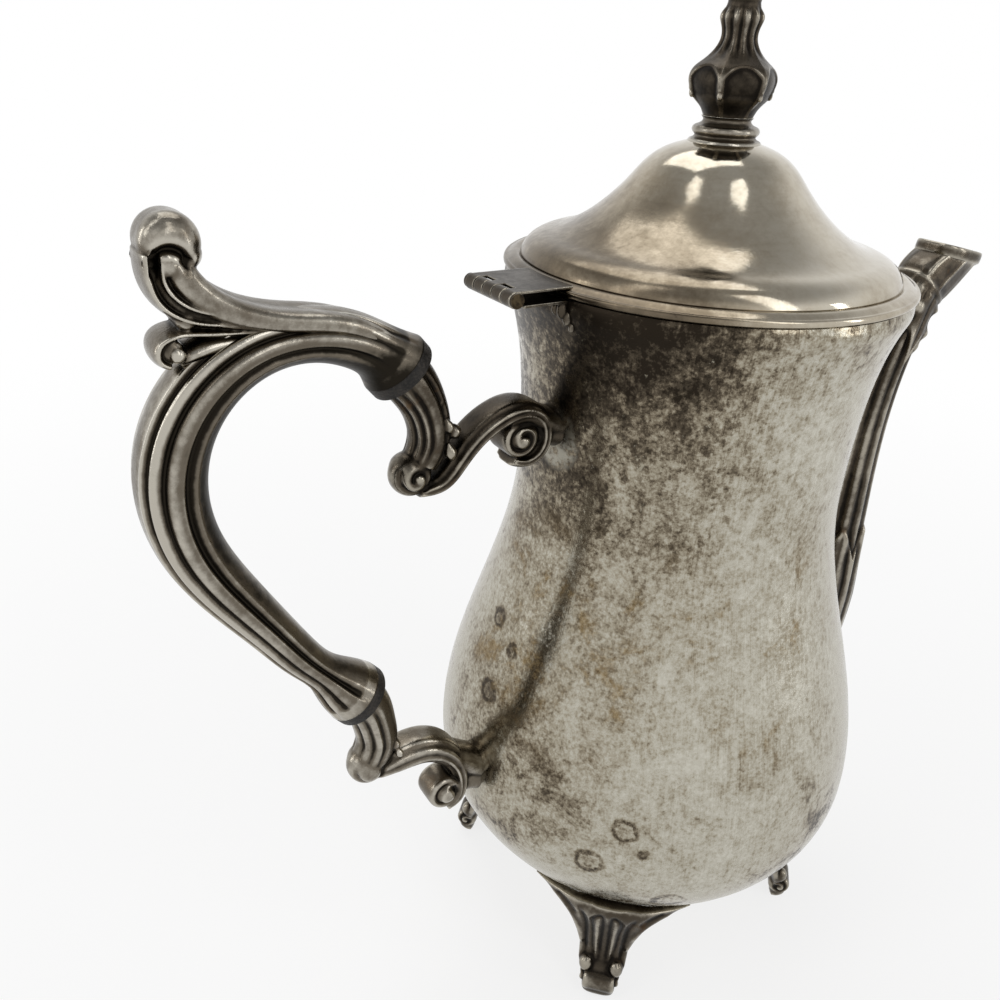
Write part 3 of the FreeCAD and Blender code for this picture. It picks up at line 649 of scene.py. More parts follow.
def engrave(mesh, cuts, plane=(0, 2), facing=1):
    """Presses grooves (or raises ridges) along flat paths into the faces that look that way."""
    verts, normals = points_and_normals(mesh)
    look = unit((np.abs(normals[:, facing]) - 0.15) / 0.35)
    push = np.zeros(len(verts))
    for path, width, depth in cuts:
        away, along = path_distance(verts[:, plane], path)
        fade = unit(np.minimum(along, 1 - along) * 6 + 0.25)
        push += depth * np.exp(-(away / width) ** 2) * fade * look
    move_points(mesh, verts - normals * push[:, None])


def relax(mesh, rounds):
    for _ in range(rounds):
        verts, _normals = points_and_normals(mesh)
        move_points(mesh, verts + 0.5 * (neighbours_mean(mesh, verts, 1) - verts))


def mark_recess(mesh, rounds, depth, extra=0.0):
    """Stores how deep each point lies under the smoothed surface, for tarnish and polish, plus any extra
    darkening given, which on the grip is painted shade.
    """
    verts, normals = points_and_normals(mesh)
    sunk = np.clip(((neighbours_mean(mesh, verts, rounds) - verts) * normals).sum(1) / depth, -1, 1)
    layer = mesh.attributes.new("recess_and_painted_shade", "FLOAT", "POINT")
    layer.data.foreach_set("value", np.clip(sunk + extra, -1, 1))


def place_piece(name, mesh, material, body, node):
    """Turns a mesh in millimetres into a piece in metres that stands for a CAD node."""
    mesh.transform(Matrix.Scale(MM, 4))
    mesh.name = name
    mesh.shade_smooth()
    mesh.materials.clear()
    mesh.materials.append(material)
    piece = add_object(name, mesh)
    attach(piece, body)
    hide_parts(node)


def middle(node):
    low, high = (np.array(corner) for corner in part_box(node))
    return (low + high) / 2 / MM


# The pot's wall: three curves of radius and height from the bottom to the shoulder
BODY_CURVES = [[(27.0, 14.5), (46.305, 29.494), (56.7, 40.498), (56.7, 56.5)],
               [(56.7, 56.5), (56.7, 83.5), (39.6, 110.5), (39.6, 137.5)],
               [(39.6, 137.5), (39.6, 157.475), (41.004, 171.075), (45.0, 180.0)]]
WALL_SINK, WALL_LOW, WALL_HIGH = 0.6, 15.0, 184.0


def body_radius_at(height):
    """Outer radius of the pot's body at a height."""
    outline = np.concatenate([bezier_points(poles, 80) for poles in BODY_CURVES])
    return np.interp(height, outline[:, 1], outline[:, 0])


def keep_outside(mesh):
    """Draws what would reach into the pot back into its wall."""
    verts, _normals = points_and_normals(mesh)
    radius = np.hypot(verts[:, 0], verts[:, 1])
    least = body_radius_at(verts[:, 2]) - WALL_SINK
    inside = (verts[:, 2] > WALL_LOW) & (verts[:, 2] < WALL_HIGH) & (radius < least)
    verts[inside, :2] *= (least / np.maximum(radius, 1e-6))[inside, None]
    move_points(mesh, verts)


# The handle hangs between the middles of its two dark rings
UPPER_RING = middle("upper_insulator")[[0, 2]]
LOWER_RING = middle("lower_insulator")[[0, 2]]
UPPER_SEAT = UPPER_RING + np.array((37.7, -20.6))
LOWER_SEAT = LOWER_RING + np.array((31.4, -36.5))
RING_RADIUS, RING_HALF = 7.2, 1.3
RING_ANGLE = math.radians(-49.0)
RING_WAY = np.array((math.cos(RING_ANGLE), math.sin(RING_ANGLE)))
GRIP_REACH, GRIP_DEPTH, GRIP_WIDTH = 42.2, 6.4, 6.6


def handle_point(drop, reach):
    return UPPER_RING + (LOWER_RING - UPPER_RING) * drop + np.array((-GRIP_REACH * reach, 0))


def grip_rows(shares):
    """Sweep rows whose sizes are shares of the grip's."""
    return [(*handle_point(drop, reach), GRIP_DEPTH * depth, GRIP_WIDTH * width, *rest)
            for drop, reach, depth, width, *rest in shares]


def handle_rows(shares):
    """Sweep rows whose places are shares of the handle and whose sizes are in millimetres."""
    return [(*handle_point(drop, reach), depth, width) for drop, reach, depth, width in shares]


def rows_from(base, rows):
    """Sweep rows whose places are counted from a base point."""
    return [(base[0] + x, base[1] + z, depth, width) for x, z, depth, width in rows]


# The grip: drop, reach, depth, width and flute depth, with an outer band, ribs and grooves down both sides
GRIP_SHARES = [(-0.043, 0.094, 0.92, 0.97, 0.03), (-0.084, 0.223, 0.84, 0.93, 0.1),
               (-0.114, 0.431, 0.8, 0.94, 0.13), (-0.103, 0.666, 0.86, 0.96, 0.13),
               (-0.033, 0.866, 0.95, 1.0, 0.13), (0.084, 0.982, 1.0, 1.0, 0.13),
               (0.227, 0.998, 1.0, 1.0, 0.13), (0.383, 0.91, 0.95, 0.96, 0.13),
               (0.554, 0.705, 0.85, 0.88, 0.13), (0.684, 0.519, 0.76, 0.8, 0.13),
               (0.809, 0.335, 0.68, 0.74, 0.13), (0.887, 0.203, 0.7, 0.74, 0.13),
               (0.939, 0.114, 0.95, 0.9, 0.12)]


def grip_profile(turn, path):
    lively = unit(path[:, 4:5] / 0.13)
    cut = (0.15 * dip(turn, 144.5, 5.5) + 0.13 * dip(turn, 114.0, 6.0) + 0.16 * dip(turn, 74.0, 7.0)
           - 0.05 * dip(turn, 151.5, 4.0) - 0.05 * dip(turn, 130.0, 9.0) - 0.05 * dip(turn, 97.0, 10.0)
           - 0.03 * dip(turn, 83.0, 3.0) - 0.02 * dip(turn, 60.0, 6.0) + 0.04 * dip(turn, 180.0, 20.0))
    return 1 - lively * cut


def make_grip(material):
    first, last = ((*(ring - RING_WAY * RING_HALF), RING_RADIUS, RING_RADIUS, 0.0)
                   for ring in (UPPER_RING, LOWER_RING))
    form = Form()
    along, around = 480, 200
    form.sweep([first] + grip_rows(GRIP_SHARES) + [last], grip_profile, along, around,
               math.pi + RING_ANGLE, RING_ANGLE)
    mesh = form_mesh(form)
    # The inner side, towards the pot, is darkened as painted shade, less towards the lower end; both ends keep
    # their tarnish, the upper end most
    turn = np.abs(np.degrees(half_turns(around)))
    inner = 0.75 * unit((122 - turn) / 45) * unit((turn + 30) / 60)
    down = np.arange(along) / along
    ends_dull = 1.1 * unit(1 - down / 0.06) + 0.45 * unit((down - 0.96) / 0.04)
    painted_shade_share = 1 - 0.6 * unit((down - 0.55) / 0.25)
    tarnish_and_painted_shade = (inner[None, :] * painted_shade_share[:, None] + ends_dull[:, None]).ravel()
    mark_recess(mesh, 50, 0.4, np.concatenate([tarnish_and_painted_shade, [0.0, 0.0]]))
    place_piece("fluted_grip", mesh, material, "pot", "handle_grip")


# The thumb strap with its rolled head, and the leaf and curl under it: drop, reach, half depth, half width
THUMB_SHARES = [(-0.06, 0.05, 0.4, 0.7), (-0.12, 0.22, 0.38, 0.8), (-0.152, 0.4, 0.36, 0.88),
                (-0.165, 0.56, 0.36, 0.9), (-0.19, 0.75, 0.4, 0.9), (-0.232, 0.9, 0.46, 0.86),
                (-0.29, 0.998, 0.46, 0.8), (-0.346, 1.04, 0.4, 0.72)]
KNOB, CURL, LEAF_TIP = handle_point(-0.354, 1.046), handle_point(-0.124, 1.026), handle_point(-0.192, 0.985)
HEAD_CURL = KNOB + np.array((-0.9, -3.2))
KNOB_RADIUS, KNOB_HALF, HEAD_CURL_RADIUS, ARCH_RADIUS = 4.95, 5.35, 2.0, 2.75
LEAF_TIP_RADIUS, LEAF_TIP_HALF, CURL_RADIUS, CURL_HALF = 1.7, 4.7, 1.9, 3.9
THUMB_NECK = [(-1.1, 0.6, 0.9, 5.2), (-1.0, -2.6, 0.9, 5.3), (1.0, -5.6, 0.85, 5.5), (5.0, -7.7, 0.75, 5.6),
              (11.0, -9.0, 0.5, 5.5)]
THUMB_BACK = [(-4.1, -1.2, 1.1, 5.0), (-4.2, -5.0, 0.95, 5.1), (-2.9, -9.0, 0.9, 5.1), (0.6, -11.8, 0.85, 5.2),
              (7.0, -13.3, 0.7, 5.2)]
THUMB_CORE = [(-1.6, -2.0, 2.6, 4.4), (-1.9, -6.0, 2.2, 4.4), (-0.2, -9.4, 1.9, 4.5), (4.0, -11.7, 1.6, 4.6),
              (10.0, -12.8, 1.0, 4.7)]
THUMB_LEAF = [(-0.135, 0.46, 0.5, 5.3), (-0.158, 0.68, 0.9, 5.3), (-0.178, 0.86, 1.1, 5.0),
              (-0.19, 0.98, 1.3, 4.6)]
CURL_START = [(-0.13, 0.5, 0.5, 4.9), (-0.152, 0.72, 0.7, 4.9), (-0.158, 0.9, 0.8, 4.8)]
CURL_END = [(-0.2, 2.5, 0.9, 4.7), (-2.2, 1.1, 0.95, 4.6), (-2.3, -1.3, 0.95, 4.5), (-0.6, -2.5, 0.85, 4.4)]
CURL_WEB = [(-0.125, 0.5, 0.8, 4.0), (-0.13, 0.75, 1.5, 4.1), (-0.115, 0.92, 1.9, 4.1), (-0.1, 1.0, 1.6, 3.9)]


def strap_profile(turn, path):
    """A broad strap with a hollowed top between two raised edges."""
    return squared(turn, 3.2) * (1 - 0.3 * dip(turn, 180.0, 42.0))


def make_thumb(material):
    form = Form()
    form.sweep(grip_rows(THUMB_SHARES), strap_profile, 120, 64)
    # The head that rolls over, a smaller curl under it, and the web behind them
    form.roll(KNOB, KNOB_RADIUS, KNOB_HALF, 0.72)
    form.ball((KNOB[0] + 2.6, 0, KNOB[1] - 1.9), (2.6, 4.9, 2.7))
    form.roll(HEAD_CURL, HEAD_CURL_RADIUS, KNOB_HALF, 0.9)
    form.sweep(rows_from(HEAD_CURL, THUMB_NECK))
    form.sweep(rows_from(KNOB, THUMB_BACK))
    form.sweep(rows_from(KNOB, THUMB_CORE))
    # The pointed leaf between the strap and the lower curl, which turns round a ball
    form.sweep(handle_rows(THUMB_LEAF))
    form.roll(LEAF_TIP, LEAF_TIP_RADIUS, LEAF_TIP_HALF, 0.8)
    form.sweep(handle_rows(CURL_START) + rows_from(CURL, CURL_END), None, 80)
    form.roll(CURL, CURL_RADIUS, CURL_HALF)
    for side in (-1, 1):
        form.ball((CURL[0] + 0.55, side * 3.7, CURL[1] - 0.5), (1.4, 1.2, 1.4))
    form.sweep(handle_rows(CURL_WEB))
    mesh = fused(form, CAST_VOXEL)
    relax(mesh, 3)
    # The dark hollow that arches over the small curl
    bend = np.radians(np.linspace(205, -15, 30))
    arch = HEAD_CURL + ARCH_RADIUS * np.stack([np.cos(bend), np.sin(bend)], -1)
    engrave(mesh, [(arch, 0.75, 1.5)])
    relax(mesh, 1)
    mark_recess(mesh, 34, 0.32, 0.05)
    place_piece("thumb_strap", mesh, material, "pot", "thumb_scroll")


# The two sockets, in shares of the way from the body to the ring: a fluted arm, a scroll strap and its root,
# a ball at the elbow, a volute on the body, small leaves in the corner, and the spirals cut into both
UPPER_SOCKET = dict(
    seat=UPPER_SEAT, ring=UPPER_RING,
    arm=[(0.928, 0.837, 0.72, 0.74, 0.08), (0.861, 0.632, 0.66, 0.7, 0.12), (0.822, 0.416, 0.62, 0.68, 0.12),
         (0.82, 0.177, 0.58, 0.66, 0.1), (0.87, -0.02, 0.5, 0.6, 0.04)],
    strap=[(0.9, -0.3, 0.2, 0.56), (0.76, -0.26, 0.3, 0.6), (0.65, -0.05, 0.34, 0.64),
           (0.54, 0.17, 0.36, 0.66), (0.41, 0.32, 0.36, 0.68), (0.27, 0.38, 0.34, 0.68),
           (0.14, 0.29, 0.3, 0.67), (0.09, 0.06, 0.27, 0.64), (0.125, -0.13, 0.25, 0.6),
           (0.21, -0.21, 0.22, 0.56), (0.3, -0.17, 0.2, 0.54)],
    root=[(0.34, 0.3, 0.3, 0.6), (0.2, 0.3, 0.36, 0.62), (0.07, 0.2, 0.4, 0.66), (-0.04, 0.12, 0.44, 0.7)],
    flutes=(156, 132, 108, 62), ball=(0.93, -0.13), ball_radii=(4.5, 5.0, 4.7),
    volute=(0.265, 0.075), volute_radius=4.3,
    leaves=[(0.75, 0.38, 4.2, 2.2, 1.1, -70), (0.735, 0.1, 4.2, 2.6, 1.3, -75),
            (0.69, 0.28, 2.4, 2.4, 1.6, -60), (0.8, 0.62, 3.0, 2.0, 1.2, -65)],
    ball_cut=((3.9, 150, 1.25, 0.2), 0.6, 0.9), volute_cut=((3.6, 40, 1.3, 0.35), 0.6, 0.9))
LOWER_SOCKET = dict(
    seat=LOWER_SEAT, ring=LOWER_RING,
    arm=[(0.915, 0.88, 0.72, 0.72, 0.08), (0.863, 0.72, 0.68, 0.7, 0.12), (0.85, 0.587, 0.66, 0.68, 0.12),
         (0.915, 0.453, 0.58, 0.64, 0.04)],
    strap=[(0.88, 0.363, 0.34, 0.56), (0.706, 0.389, 0.52, 0.64), (0.493, 0.395, 0.54, 0.68),
           (0.314, 0.32, 0.48, 0.68), (0.19, 0.173, 0.38, 0.68), (0.15, 0.0, 0.3, 0.66),
           (0.19, -0.13, 0.24, 0.62), (0.28, -0.175, 0.2, 0.58)],
    root=[(0.4, 0.33, 0.36, 0.6), (0.25, 0.25, 0.44, 0.64), (0.1, 0.15, 0.5, 0.68), (-0.06, 0.06, 0.54, 0.7)],
    flutes=(156, 122, 88), ball=(0.935, 0.416), ball_radii=(4.7, 5.0, 4.9),
    volute=(0.294, -0.037), volute_radius=4.6,
    leaves=[(0.74, 0.56, 3.2, 2.2, 1.3, -75), (0.72, 0.5, 4.2, 1.8, 1.0, -70)],
    ball_cut=((4.0, 160, 0.6, 0.6), 0.6, 0.6), volute_cut=((3.4, 60, 1.05, 0.75), 0.7, 1.1))


VOLUTE_HALF, VOLUTE_EYE = 4.7, 4.4
PAD_RADIUS, PAD_FLARE, PAD_SINK, PAD_LIFT = 3.6, 2.2, 2.2, 0.6


def fluted(places):
    def profile(turn, path):
        lively = unit(path[:, 4:5] / 0.12)
        return 1.02 - lively * sum(0.15 * dip(turn, place, 7.0) for place in places)
    return profile


def strap_ridges(turn, path):
    cut = 1 - 0.14 * dip(turn, 50.0, 12.0) - 0.14 * dip(turn, 130.0, 12.0) - 0.08 * dip(turn, 90.0, 9.0)
    return squared(turn, 3) * cut


def make_socket(node, material, seat, ring, arm, strap, root, flutes, ball, ball_radii, volute, volute_radius,
                leaves, ball_cut, volute_cut):
    def at(share):
        return seat + (ring - seat) * np.array(share)

    def rows(shares):
        return [(*at((along, rise)), RING_RADIUS * depth, RING_RADIUS * width, *rest)
                for along, rise, depth, width, *rest in shares]

    form = Form()
    start = (*(ring + RING_WAY * RING_HALF), RING_RADIUS * arm[0][2], RING_RADIUS * arm[0][3], 0.0)
    form.sweep([start] + rows(arm), fluted(flutes), 120, 160, RING_ANGLE)
    form.sweep(rows(strap), strap_ridges, 140, 72)
    form.sweep(rows(root), None, 60, 40)
    tip, hub = at(ball), at(volute)
    form.ball((tip[0], 0, tip[1]), ball_radii)
    form.roll(hub, volute_radius, VOLUTE_HALF)
    for side in (-1, 1):
        form.ball((hub[0], side * VOLUTE_EYE, hub[1]), (volute_radius * 0.5, 1.1, volute_radius * 0.5))
    # The uneven pad that spreads from the volute onto the wall
    reach = np.linspace(0, 1, 14)[:, None]
    turn = full_turn(48)
    wide = PAD_RADIUS + PAD_FLARE * reach ** 3
    form.grid(points_of(hub[0] + (seat[0] + PAD_SINK - hub[0]) * reach,
                        wide * np.sin(turn) * (1 + 0.07 * np.cos(3 * turn + 1)),
                        hub[1] + PAD_LIFT + wide * np.cos(turn) * (1 + 0.1 * np.cos(2 * turn + 0.6))))
    for along, rise, out, long, thick, tilt in leaves:
        x, z = at((along, rise))
        way = np.array((math.cos(math.radians(tilt)), math.sin(math.radians(tilt))))
        path = [(x - long * way[0], z - long * way[1], 0.15, 0.15), (x, z, thick, thick),
                (x + long * 0.7 * way[0], z + long * 0.7 * way[1], 0.3, 0.3)]
        for side in (-1, 1):
            begin = form.count
            form.sweep(path, None, 24, 20)
            for i in range(begin, form.count):
                form.verts[i][1] += side * out
    mesh = fused(form, CAST_VOXEL)
    relax(mesh, 2)
    engrave(mesh, [(spiral(centre, *turns), width, depth)
                   for centre, (turns, width, depth) in ((tip, ball_cut), (hub, volute_cut))])
    relax(mesh, 2)
    keep_outside(mesh)
    mark_recess(mesh, 34, 0.3)
    place_piece(node + "_cast", mesh, material, "pot", node)


# The finial: share of its height, of its radius, and depth of its lobes; a bud, a fluted neck and a knob
FINIAL_SHARES = [(0.0, 0.55, 0.0), (0.06, 0.64, 0.02), (0.14, 0.86, 0.06), (0.21, 0.96, 0.1), (0.28, 1.0, 0.12),
                 (0.35, 0.93, 0.12), (0.41, 0.74, 0.1), (0.48, 0.54, 0.08), (0.577, 0.41, 0.06),
                 (0.66, 0.44, 0.08), (0.723, 0.49, 0.1), (0.79, 0.38, 0.03)]
FINIAL_LOW, FINIAL_HEIGHT, FINIAL_RADIUS, FINIAL_KNOB, LOBES = 217.0, 26.0, 9.3, 3.4, 6
PANEL_TOP, PANEL_DROP, PANEL_BEND, PANEL_SIDE = 0.375, 0.13, 2.5, 0.84
TONGUE_BEADS = [(0.17, 0.62), (0.21, 0.4)]


def from_lobe(turn):
    """0 in the middle of a lobe, 1 between two."""
    return np.abs((turn * LOBES / (2 * math.pi) + 0.5) % 1 - 0.5) * 2


def make_finial(material):
    sized = [(up * FINIAL_HEIGHT, across * FINIAL_RADIUS, lobe) for up, across, lobe in FINIAL_SHARES]
    rows = spline(sized, 220)
    lift = np.linspace(0.62 * math.pi, 0, 40)[1:]
    turn = full_turn(240)
    heights = np.concatenate([rows[:, 0], FINIAL_HEIGHT - FINIAL_KNOB + FINIAL_KNOB * np.cos(lift)])[:, None]
    radii = np.concatenate([rows[:, 1], FINIAL_KNOB * np.sin(lift)])[:, None]
    lobes = np.concatenate([rows[:, 2], np.zeros(len(lift))])[:, None]
    off_lobe = from_lobe(turn)
    share = heights / FINIAL_HEIGHT
    # Six flat sunk panels with arched tops between raised tongues; the neck above is softly fluted
    flat = math.cos(math.pi / LOBES) / np.cos(off_lobe * math.pi / LOBES) - 1
    arch = PANEL_TOP - PANEL_DROP * off_lobe ** PANEL_BEND
    inside = 1 / (1 + np.exp((share - arch) / 0.006))
    within = 1 / (1 + np.exp((off_lobe - PANEL_SIDE) / 0.03))
    panel = inside * within * unit((share - 0.03) / 0.06)
    neck = unit((share - 0.42) / 0.1) * unit((0.8 - share) / 0.05)
    bud = unit(lobes / 0.08) * (1 - neck)
    from_flute = np.abs((turn * 2 * LOBES / (2 * math.pi)) % 1 - 0.5)
    flutes = 0.13 * np.exp(-(from_flute / 0.55 * 2) ** 2) * neck
    reach = 1.01 + bud * (0.4 * flat - 0.055 * panel) - flutes
    keep = np.maximum(radii, 0.02) * reach
    form = Form()
    form.grid(points_of(keep * np.cos(turn), keep * np.sin(turn), FINIAL_LOW + heights))
    for i in range(LOBES):
        angle = 2 * math.pi * (i + 0.5) / LOBES
        for up, size in TONGUE_BEADS:
            radius = 0.975 * np.interp(up * FINIAL_HEIGHT, rows[:, 0], rows[:, 1])
            form.ball((radius * math.cos(angle), radius * math.sin(angle), FINIAL_LOW + up * FINIAL_HEIGHT),
                      (size, size, size * 1.6), 16)
    mesh = fused(form, FINIAL_VOXEL)
    relax(mesh, 2)
    verts, _normals = points_and_normals(mesh)
    beside = from_lobe(np.arctan2(verts[:, 1], verts[:, 0]))
    up = (verts[:, 2] - FINIAL_LOW) / FINIAL_HEIGHT
    sunk = (beside < PANEL_SIDE) & (up < 0.37 - PANEL_DROP * beside ** PANEL_BEND)
    mark_recess(mesh, 30, 0.24, 0.4 * sunk)
    place_piece("lobed_finial", mesh, material, "lid", "finial")


# The feet: a ridged cabriole leg, wings that thin out against the belly, and a scrolled toe
FOOT_FRONT = [(0.0, 0.95), (0.034, 0.985), (0.1, 0.99), (0.295, 0.935), (0.51, 0.925), (0.77, 0.946),
              (0.92, 0.965), (1.0, 0.96)]
FOOT_WIDTHS = [(0.0, 0.62), (0.1, 0.7), (0.3, 0.95), (0.5, 1.0), (0.75, 1.0), (1.0, 1.0)]
FOOT_HEEL = [(0.0, 46.8), (0.15, 46.5), (0.3, 45.76), (0.45, 43.5), (0.55, 41.6), (1.0, 41.0)]
WING_LOW = [(0.0, 0.45), (0.31, 0.46), (0.39, 0.646), (0.515, 0.8), (0.762, 0.935), (1.0, 1.0)]
FOOT_TURNS = {"foot_handle_right": 225.0, "foot_handle_left": 135.0, "foot_spout_left": 45.0,
              "foot_spout_right": 315.0}
FOOT_HEIGHT, FOOT_RADIUS, LEG_WIDTH = 32.5, 52.0, 6.6
WING_WIDTH, WING_DEEP, WING_THIN_FROM = 20.6, 3.2, 8.0
TOE, TOE_RADIUS, TOE_HALF = (48.9, 4.6), 3.1, 4.7
# The eye of the toe's scroll and the small curl above it: place and radii
FOOT_CURLS = [((49.3, 4.4, 4.6), (1.5, 0.9, 1.5)), ((48.3, 4.0, 9.2), (2.1, 1.9, 2.6))]
# Grooves and ridges (negative depth) on one half of the leg: places, count, width and depth
FOOT_CUTS = [([(1.0, 11.0), (1.1, 19.0), (1.0, 26.0), (1.9, 29.4), (3.2, 28.4), (3.6, 24.0), (3.0, 17.0),
               (2.5, 11.0)], 50, 0.7, 0.45),
             ([(1.9, 12.0), (2.2, 20.0), (2.3, 27.5)], 20, 1.1, -0.35),
             ([(4.7, 12.0), (5.0, 20.0), (5.7, 26.0), (7.6, 30.5)], 30, 0.8, 0.6),
             ([(6.6, 19.5), (8.6, 24.5), (12.0, 28.6), (16.5, 31.0)], 30, 0.7, -0.35),
             ([(8.2, 27.2), (11.0, 30.0), (14.5, 31.4)], 20, 1.0, 0.4)]


def foot_front():
    return spline([(up * FOOT_HEIGHT, out * FOOT_RADIUS) for up, out in FOOT_FRONT], 200)


def form_wing(form, side):
    """One wing: a curved plate that sweeps from the leg up to the belly and thins out against it."""
    lateral = np.linspace(0, 0.985 * WING_WIDTH, 120)[:, None]
    low = FOOT_HEIGHT * np.interp(lateral / WING_WIDTH, *zip(*WING_LOW))
    high = np.maximum(FOOT_HEIGHT, low + 0.4)
    rise = np.linspace(0, 1, 30)
    height = low + (high - low) * rise
    face = np.interp(height, *foot_front().T)
    thin = unit((lateral - WING_THIN_FROM) / (WING_WIDTH - WING_THIN_FROM))
    belly = body_radius_at(height) + 0.5
    face = face + (np.minimum(belly, face) - face) * thin ** 1.3
    soft = unit(np.minimum(rise, 1 - rise) * 6)
    proud = face - 0.5 * (1 - np.sqrt(1 - (1 - soft) ** 2))
    deep = WING_DEEP * (1 - 0.55 * thin)
    outer, inner = (points_of(np.sqrt(radius ** 2 - lateral ** 2), side * lateral, height)
                    for radius in (proud, face - deep))
    form.grid(np.concatenate([outer, inner[:, ::-1]], axis=1))


def make_feet(material):
    form = Form()
    up = np.linspace(0, 1, 110)[:, None]
    face = np.interp(up * FOOT_HEIGHT, *foot_front().T)
    width = LEG_WIDTH * np.interp(up, *zip(*FOOT_WIDTHS))
    heel = np.interp(up, *zip(*FOOT_HEEL))
    turn = half_turns(96)
    boxy = squared(turn, 3)
    form.grid(points_of((face + heel) / 2 + (face - heel) / 2 * boxy * np.cos(turn),
                        width * boxy * np.sin(turn), up * FOOT_HEIGHT))
    # The toe: a scroll rolled outwards on a flat pad, and a small curl beside the leg above it
    form.roll(TOE, TOE_RADIUS, TOE_HALF, 0.5)
    for side in (-1, 1):
        form_wing(form, side)
        for (x, y, z), radii in FOOT_CURLS:
            form.ball((x, side * y, z), radii)
    mesh = fused(form, FOOT_VOXEL)
    relax(mesh, 2)
    cuts = [(spline([(side * y, z) for y, z in places], count), wide, depth)
            for side in (-1, 1) for places, count, wide, depth in FOOT_CUTS]
    engrave(mesh, cuts, (1, 2), 0)
    engrave(mesh, [(spiral(TOE, 2.4, 120, -1.1, 0.3), 0.5, 0.6)])
    relax(mesh, 2)
    keep_outside(mesh)
    mark_recess(mesh, 30, 0.3)
    for name, direction in FOOT_TURNS.items():
        turned = mesh.copy()
        turned.transform(Matrix.Rotation(math.radians(direction), 4, "Z"))
        place_piece("cast_" + name, turned, material, "pot", name)
    bpy.data.meshes.remove(mesh)


# The spout: shares of its reach and of its neck's radius, then rows in millimetres with a corner share
SPOUT_SHARES = [(0.0, 0.0, 2.5, 2.0), (0.19, 0.02, 2.2, 1.85), (0.331, 0.085, 1.85, 1.6),
                (0.418, 0.256, 1.47, 1.35), (0.434, 0.419, 1.24, 1.2), (0.44, 0.564, 1.13, 1.12),
                (0.482, 0.706, 1.06, 1.06), (0.552, 0.808, 1.02, 1.02)]
SPOUT_TOP = [(77.8, 166.3, 6.8, 6.7, 0.02), (80.2, 171.2, 6.7, 6.3, 0.05), (83.4, 174.8, 7.4, 6.2, 0.1),
             (87.6, 178.4, 7.8, 6.3, 0.12)]
SPOUT_ROOT, SPOUT_REACH, SPOUT_TIP = np.array((50.7, 64.0)), np.array((94.5, 181.0)), np.array((91.8, 181.8))
SPOUT_NECK, SPOUT_WALL, ROOT_ANGLE = 7.0, 1.6, 18.0
MOUTH_DEPTH, MOUTH_WIDTH, MOUTH_CORNER, MOUTH_ANGLE = 8.2, 6.4, 0.13, 78.0
SPOUT_BEADS = [(150, 0.79), (128, 0.82), (152, 0.85), (126, 0.875), (60, 0.86)]


def spout_rows(inset):
    rows = []
    for out, up, depth, width in SPOUT_SHARES:
        x, z = SPOUT_ROOT + (SPOUT_REACH - SPOUT_ROOT) * np.array((out, up))
        rows.append((x, z, SPOUT_NECK * depth, SPOUT_NECK * width, 0.0))
    rows += SPOUT_TOP + [(*SPOUT_TIP, MOUTH_DEPTH, MOUTH_WIDTH, MOUTH_CORNER)]
    return [(x, z, depth - inset, width - inset, corner) for x, z, depth, width, corner in rows]


def spout_bore(turn, path):
    return 1 + path[:, 4:5] * np.sin(2 * turn) ** 2


def spout_profile(turn, path):
    """Ribs along the neck, leaves at the root and below the mouth, and plain panels at the tip."""
    share = np.linspace(0, 1, len(path))[:, None]
    tip = unit((share - 0.9) / 0.02)
    ribs = unit((share - 0.2) / 0.1) * unit((0.88 - share) / 0.04)
    flute = dips(turn, (20, 48, 76, 104, 132, 160), 9.0)
    ridge = dips(turn, (44, 90, 136), 4.5) * tip
    panel = dips(turn, (67, 113), 13.0) * tip
    lobes = np.abs(np.cos(3 * turn))
    wrap = unit((share - 0.74 - 0.07 * lobes) / 0.01) * unit((0.9 - share) / 0.012)
    root = unit((0.3 + 0.07 * lobes - share) / 0.012)
    collar = np.exp(-((share - 0.903) / 0.007) ** 2)
    leaf = wrap * (0.04 + 0.05 * np.abs(np.sin(6 * turn))) + root * (0.06 + 0.05 * np.abs(np.sin(9 * turn)))
    beads = sum(dip(turn, place, 11.0) * np.exp(-((share - height) / 0.013) ** 2)
                for place, height in SPOUT_BEADS)
    return spout_bore(turn, path) * (1 - 0.085 * ribs * (1 - wrap) * flute + 0.05 * ridge - 0.04 * panel + leaf
                                     + 0.06 * collar + 0.16 * beads)


def make_spout(material):
    along, around = 420, 192
    ends = (math.radians(ROOT_ANGLE), math.radians(MOUTH_ANGLE), 0.1)
    skins = []
    for inset, profile in ((0.0, spout_profile), (SPOUT_WALL, spout_bore)):
        tube = Form()
        tube.sweep(spout_rows(inset), profile, along, around, *ends)
        skins.append(np.array(tube.verts[:-2]).reshape(along, around, 3))
    form = Form()
    form.grid(np.concatenate([skins[0], skins[1][::-1]]))
    mesh = form_mesh(form)
    keep_outside(mesh)
    mark_recess(mesh, 30, 0.36)
    place_piece("ribbed_spout", mesh, material, "pot", "spout")


LIP_INSET, LIP_SWELL, LIP_LIFT, LIP_HALF = 0.35, 1.2, 0.7, 1.6
BEAK_ANGLE, BEAK_REACH, BEAK_DROP, BEAK_SWELL = 0.45, 1.9, 2.2, 0.3


